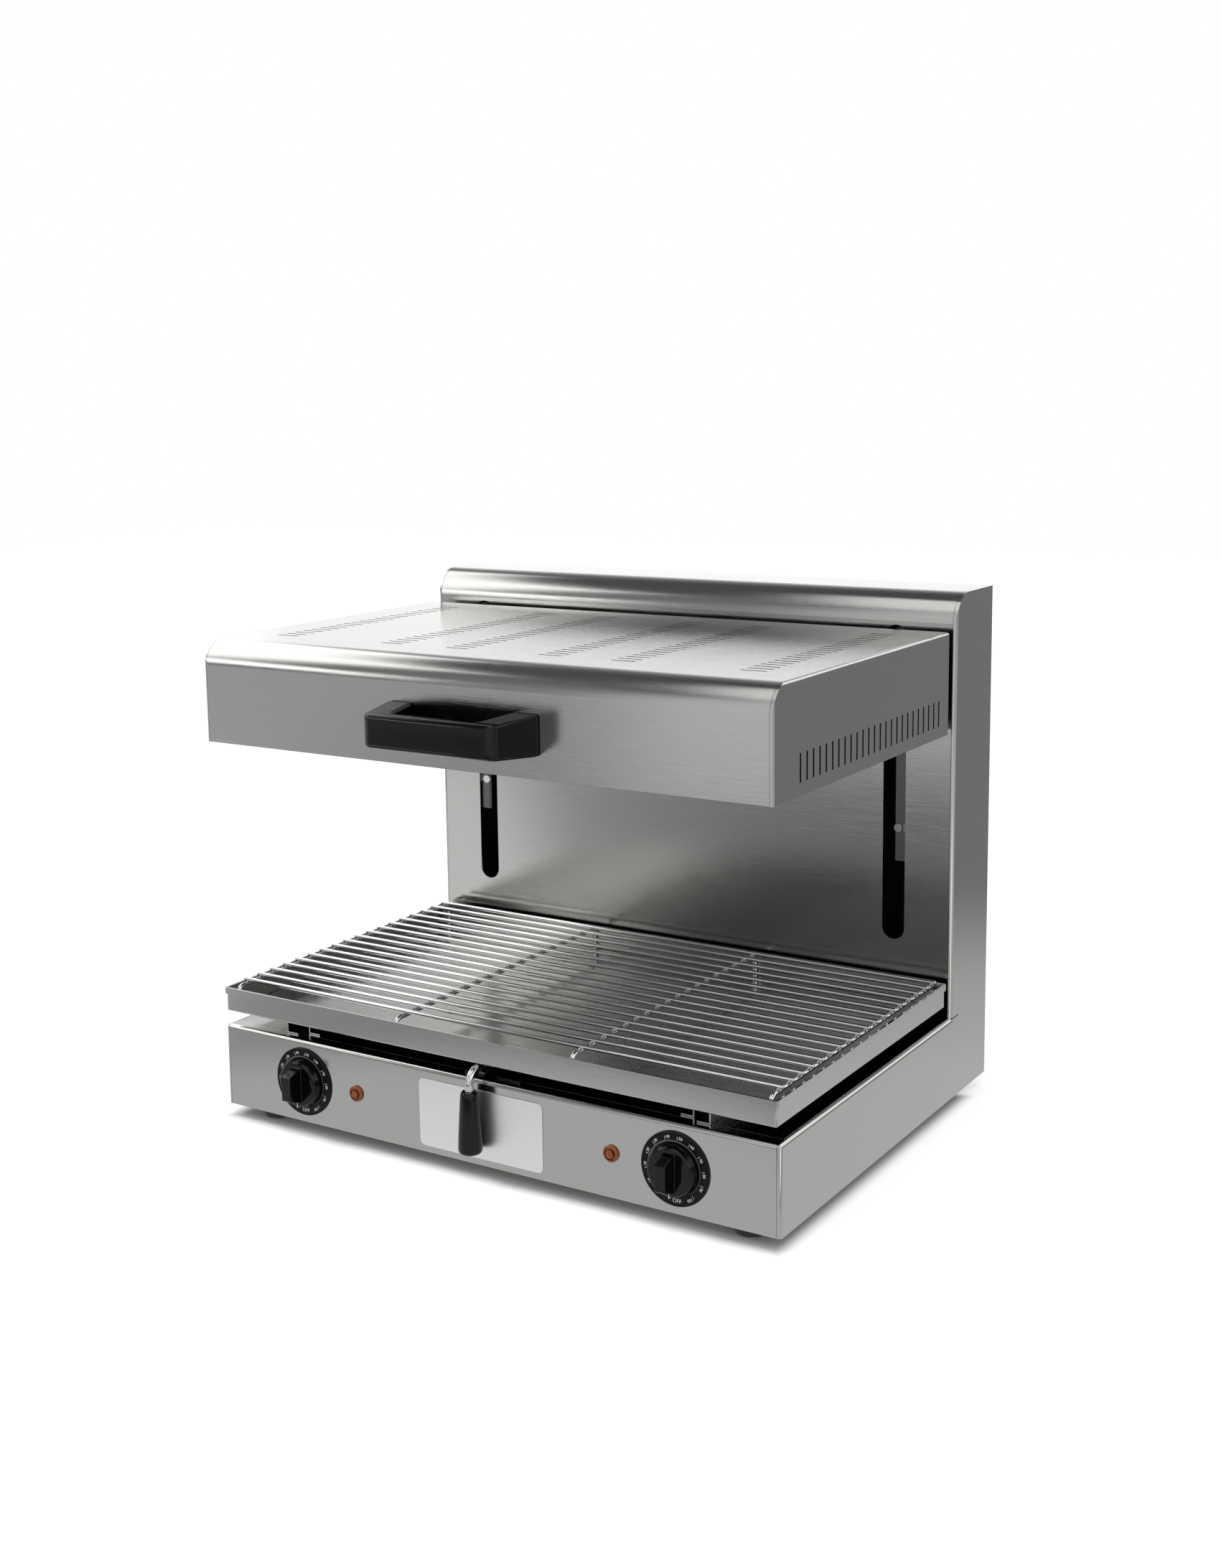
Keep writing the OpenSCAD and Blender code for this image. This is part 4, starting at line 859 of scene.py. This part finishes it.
sky = add(tree, "Mix", data_type="FLOAT", i0=mirrored, i2=0.7, i3=room)
sky = add(tree, "Mix", data_type="FLOAT", i0=seen, i2=sky, i3=1.0)
add(tree, "OutputWorld", Surface=add(tree, "Background", Color=(1, 1, 1, 1), Strength=sky))
print("world", len(tree.nodes), "nodes")

# %% [markdown]
# ## Soft panels
# A large soft light stands at the left with a low one before it, one hangs above and a tall one
# stands in front. Their panels fade to the rim, as light through cloth does, and are seen only in
# mirrored rays, so they shape the steel's gloss without adding light.

# %% Panels for the mirror


def panel(name, matrix, width, tall, strength, core):
    """A glowing panel with a soft rim that only mirrored rays see."""
    bm = bmesh.new()
    bmesh.ops.create_grid(bm, x_segments=1, y_segments=1, size=0.5)
    bmesh.ops.transform(bm, verts=bm.verts[:], matrix=matrix @ Matrix.Diagonal((width, tall, 1, 1)))
    mesh = bpy.data.meshes.new(name)
    bm.to_mesh(mesh)
    bm.free()
    cloth, tree, point = new_material(name + "_cloth")
    centred = add(tree, "Mapping", vector_type="TEXTURE", Vector=point, Scale=(width, tall, 1),
                  Location=matrix.to_translation(), Rotation=matrix.to_euler())
    away = add(tree, "VectorMath", operation="ABSOLUTE", i0=centred)
    away = add(tree, "SeparateXYZ", Vector=away)
    rim = add(tree, "Math", operation="MAXIMUM", i0=away, i1=away.node.outputs["Y"])
    fade = add(tree, "MapRange", Value=rim, From_Min=0.5, From_Max=core,
               interpolation_type="SMOOTHSTEP")
    add(tree, "OutputMaterial", Surface=add(
        tree, "MixShader", Fac=fade, i1=add(tree, "BsdfTransparent"),
        i2=add(tree, "Emission", Color=(1, 1, 1, 1), Strength=strength)))
    mesh.materials.append(cloth)
    holder = bpy.data.objects.new(name, mesh)
    bpy.context.collection.objects.link(holder)
    holder.visible_camera = holder.visible_diffuse = holder.visible_shadow = False


# name, place, turn in degrees about an axis, width, height, strength, where the fade starts
for name, spot, turn, axis, width, tall, strength, core in (
        ("left", (-1.2, -0.15, 1.25), 90, "Y", 1.5, 2.2, 2.2, 0.33),
        ("low", (-1.2, -1.2, 0.74), 90, "Y", 0.45, 1.2, 2.8, 0.1),
        ("above", (0.0, -1.3, 2.2), -12, "Z", 1.9, 2.7, 1.3, 0.4),
        ("front", (0.6, -1.6, 1.0), 90, "X", 2.9, 4.4, 0.85, 0.4)):
    stand = Matrix.Translation(spot) @ Matrix.Rotation(math.radians(turn), 4, axis)
    panel("soft_panel_" + name, stand, width, tall, strength, core)
print("panels ready")

# %% [markdown]
# ## Lamps
# Two soft lamps give the plain surfaces their light and the table its shadow. A small key lamp
# overhead adds the short bright lights on rods, edges and black gloss, so it alone is mirrored.

# %% Three lamps
# name, size, place and aim in metres, power in watts, whether mirrored rays see it
for name, size, spot, aim, power, mirrored_too in (
        ("key", (0.2, 0.2), (0.22, -0.5, 2.2), (0, -0.1, 0.3), 3, True),
        ("left", (1.4, 1.0), (-2.2, -0.9, 2.3), (0, 0, 0.2), 22, False),
        ("front", (1.6, 0.8), (1.6, -2.6, 2.6), (0, 0, 0.2), 12, False)):
    lamp = bpy.data.lights.new("lamp_" + name, "AREA")
    lamp.shape = "RECTANGLE"
    lamp.size, lamp.size_y = size
    lamp.energy = power
    holder = bpy.data.objects.new("lamp_" + name, lamp)
    holder.location = spot
    holder.rotation_euler = (Vector(aim) - Vector(spot)).to_track_quat("-Z", "Y").to_euler()
    bpy.context.collection.objects.link(holder)
    holder.visible_glossy = mirrored_too
    print("lamp", name, power, "W")

# %% [markdown]
# ## Camera
# The camera stands at the right front, a little above the hood, and looks slightly down. Its three
# axes are worked out from the turn to the left, the tilt and the slight roll.

# %% Camera
YAW, PITCH, ROLL = (math.radians(v) for v in (32.58, -8.78, -0.82))
CAMERA_SPOT = (0.96903, -1.52586, 0.700)
ahead = Vector((-math.sin(YAW) * math.cos(PITCH), math.cos(YAW) * math.cos(PITCH), math.sin(PITCH)))
right = Vector((math.cos(YAW), math.sin(YAW), 0.0))
up = right.cross(ahead)
right, up = (math.cos(ROLL) * right + math.sin(ROLL) * up,
             math.cos(ROLL) * up - math.sin(ROLL) * right)
view = bpy.data.cameras.new("camera")
view.lens = 44.335
view.sensor_width = 36.0
view.shift_x, view.shift_y = 0.01424, -0.0652
camera = bpy.data.objects.new("camera", view)
bpy.context.collection.objects.link(camera)
look = Matrix((right, up, -ahead)).transposed().to_4x4()
camera.matrix_world = Matrix.Translation(CAMERA_SPOT) @ look
bpy.context.scene.camera = camera
bpy.context.scene.view_settings.view_transform = "Standard"
print("camera at", tuple(round(v, 3) for v in camera.location))
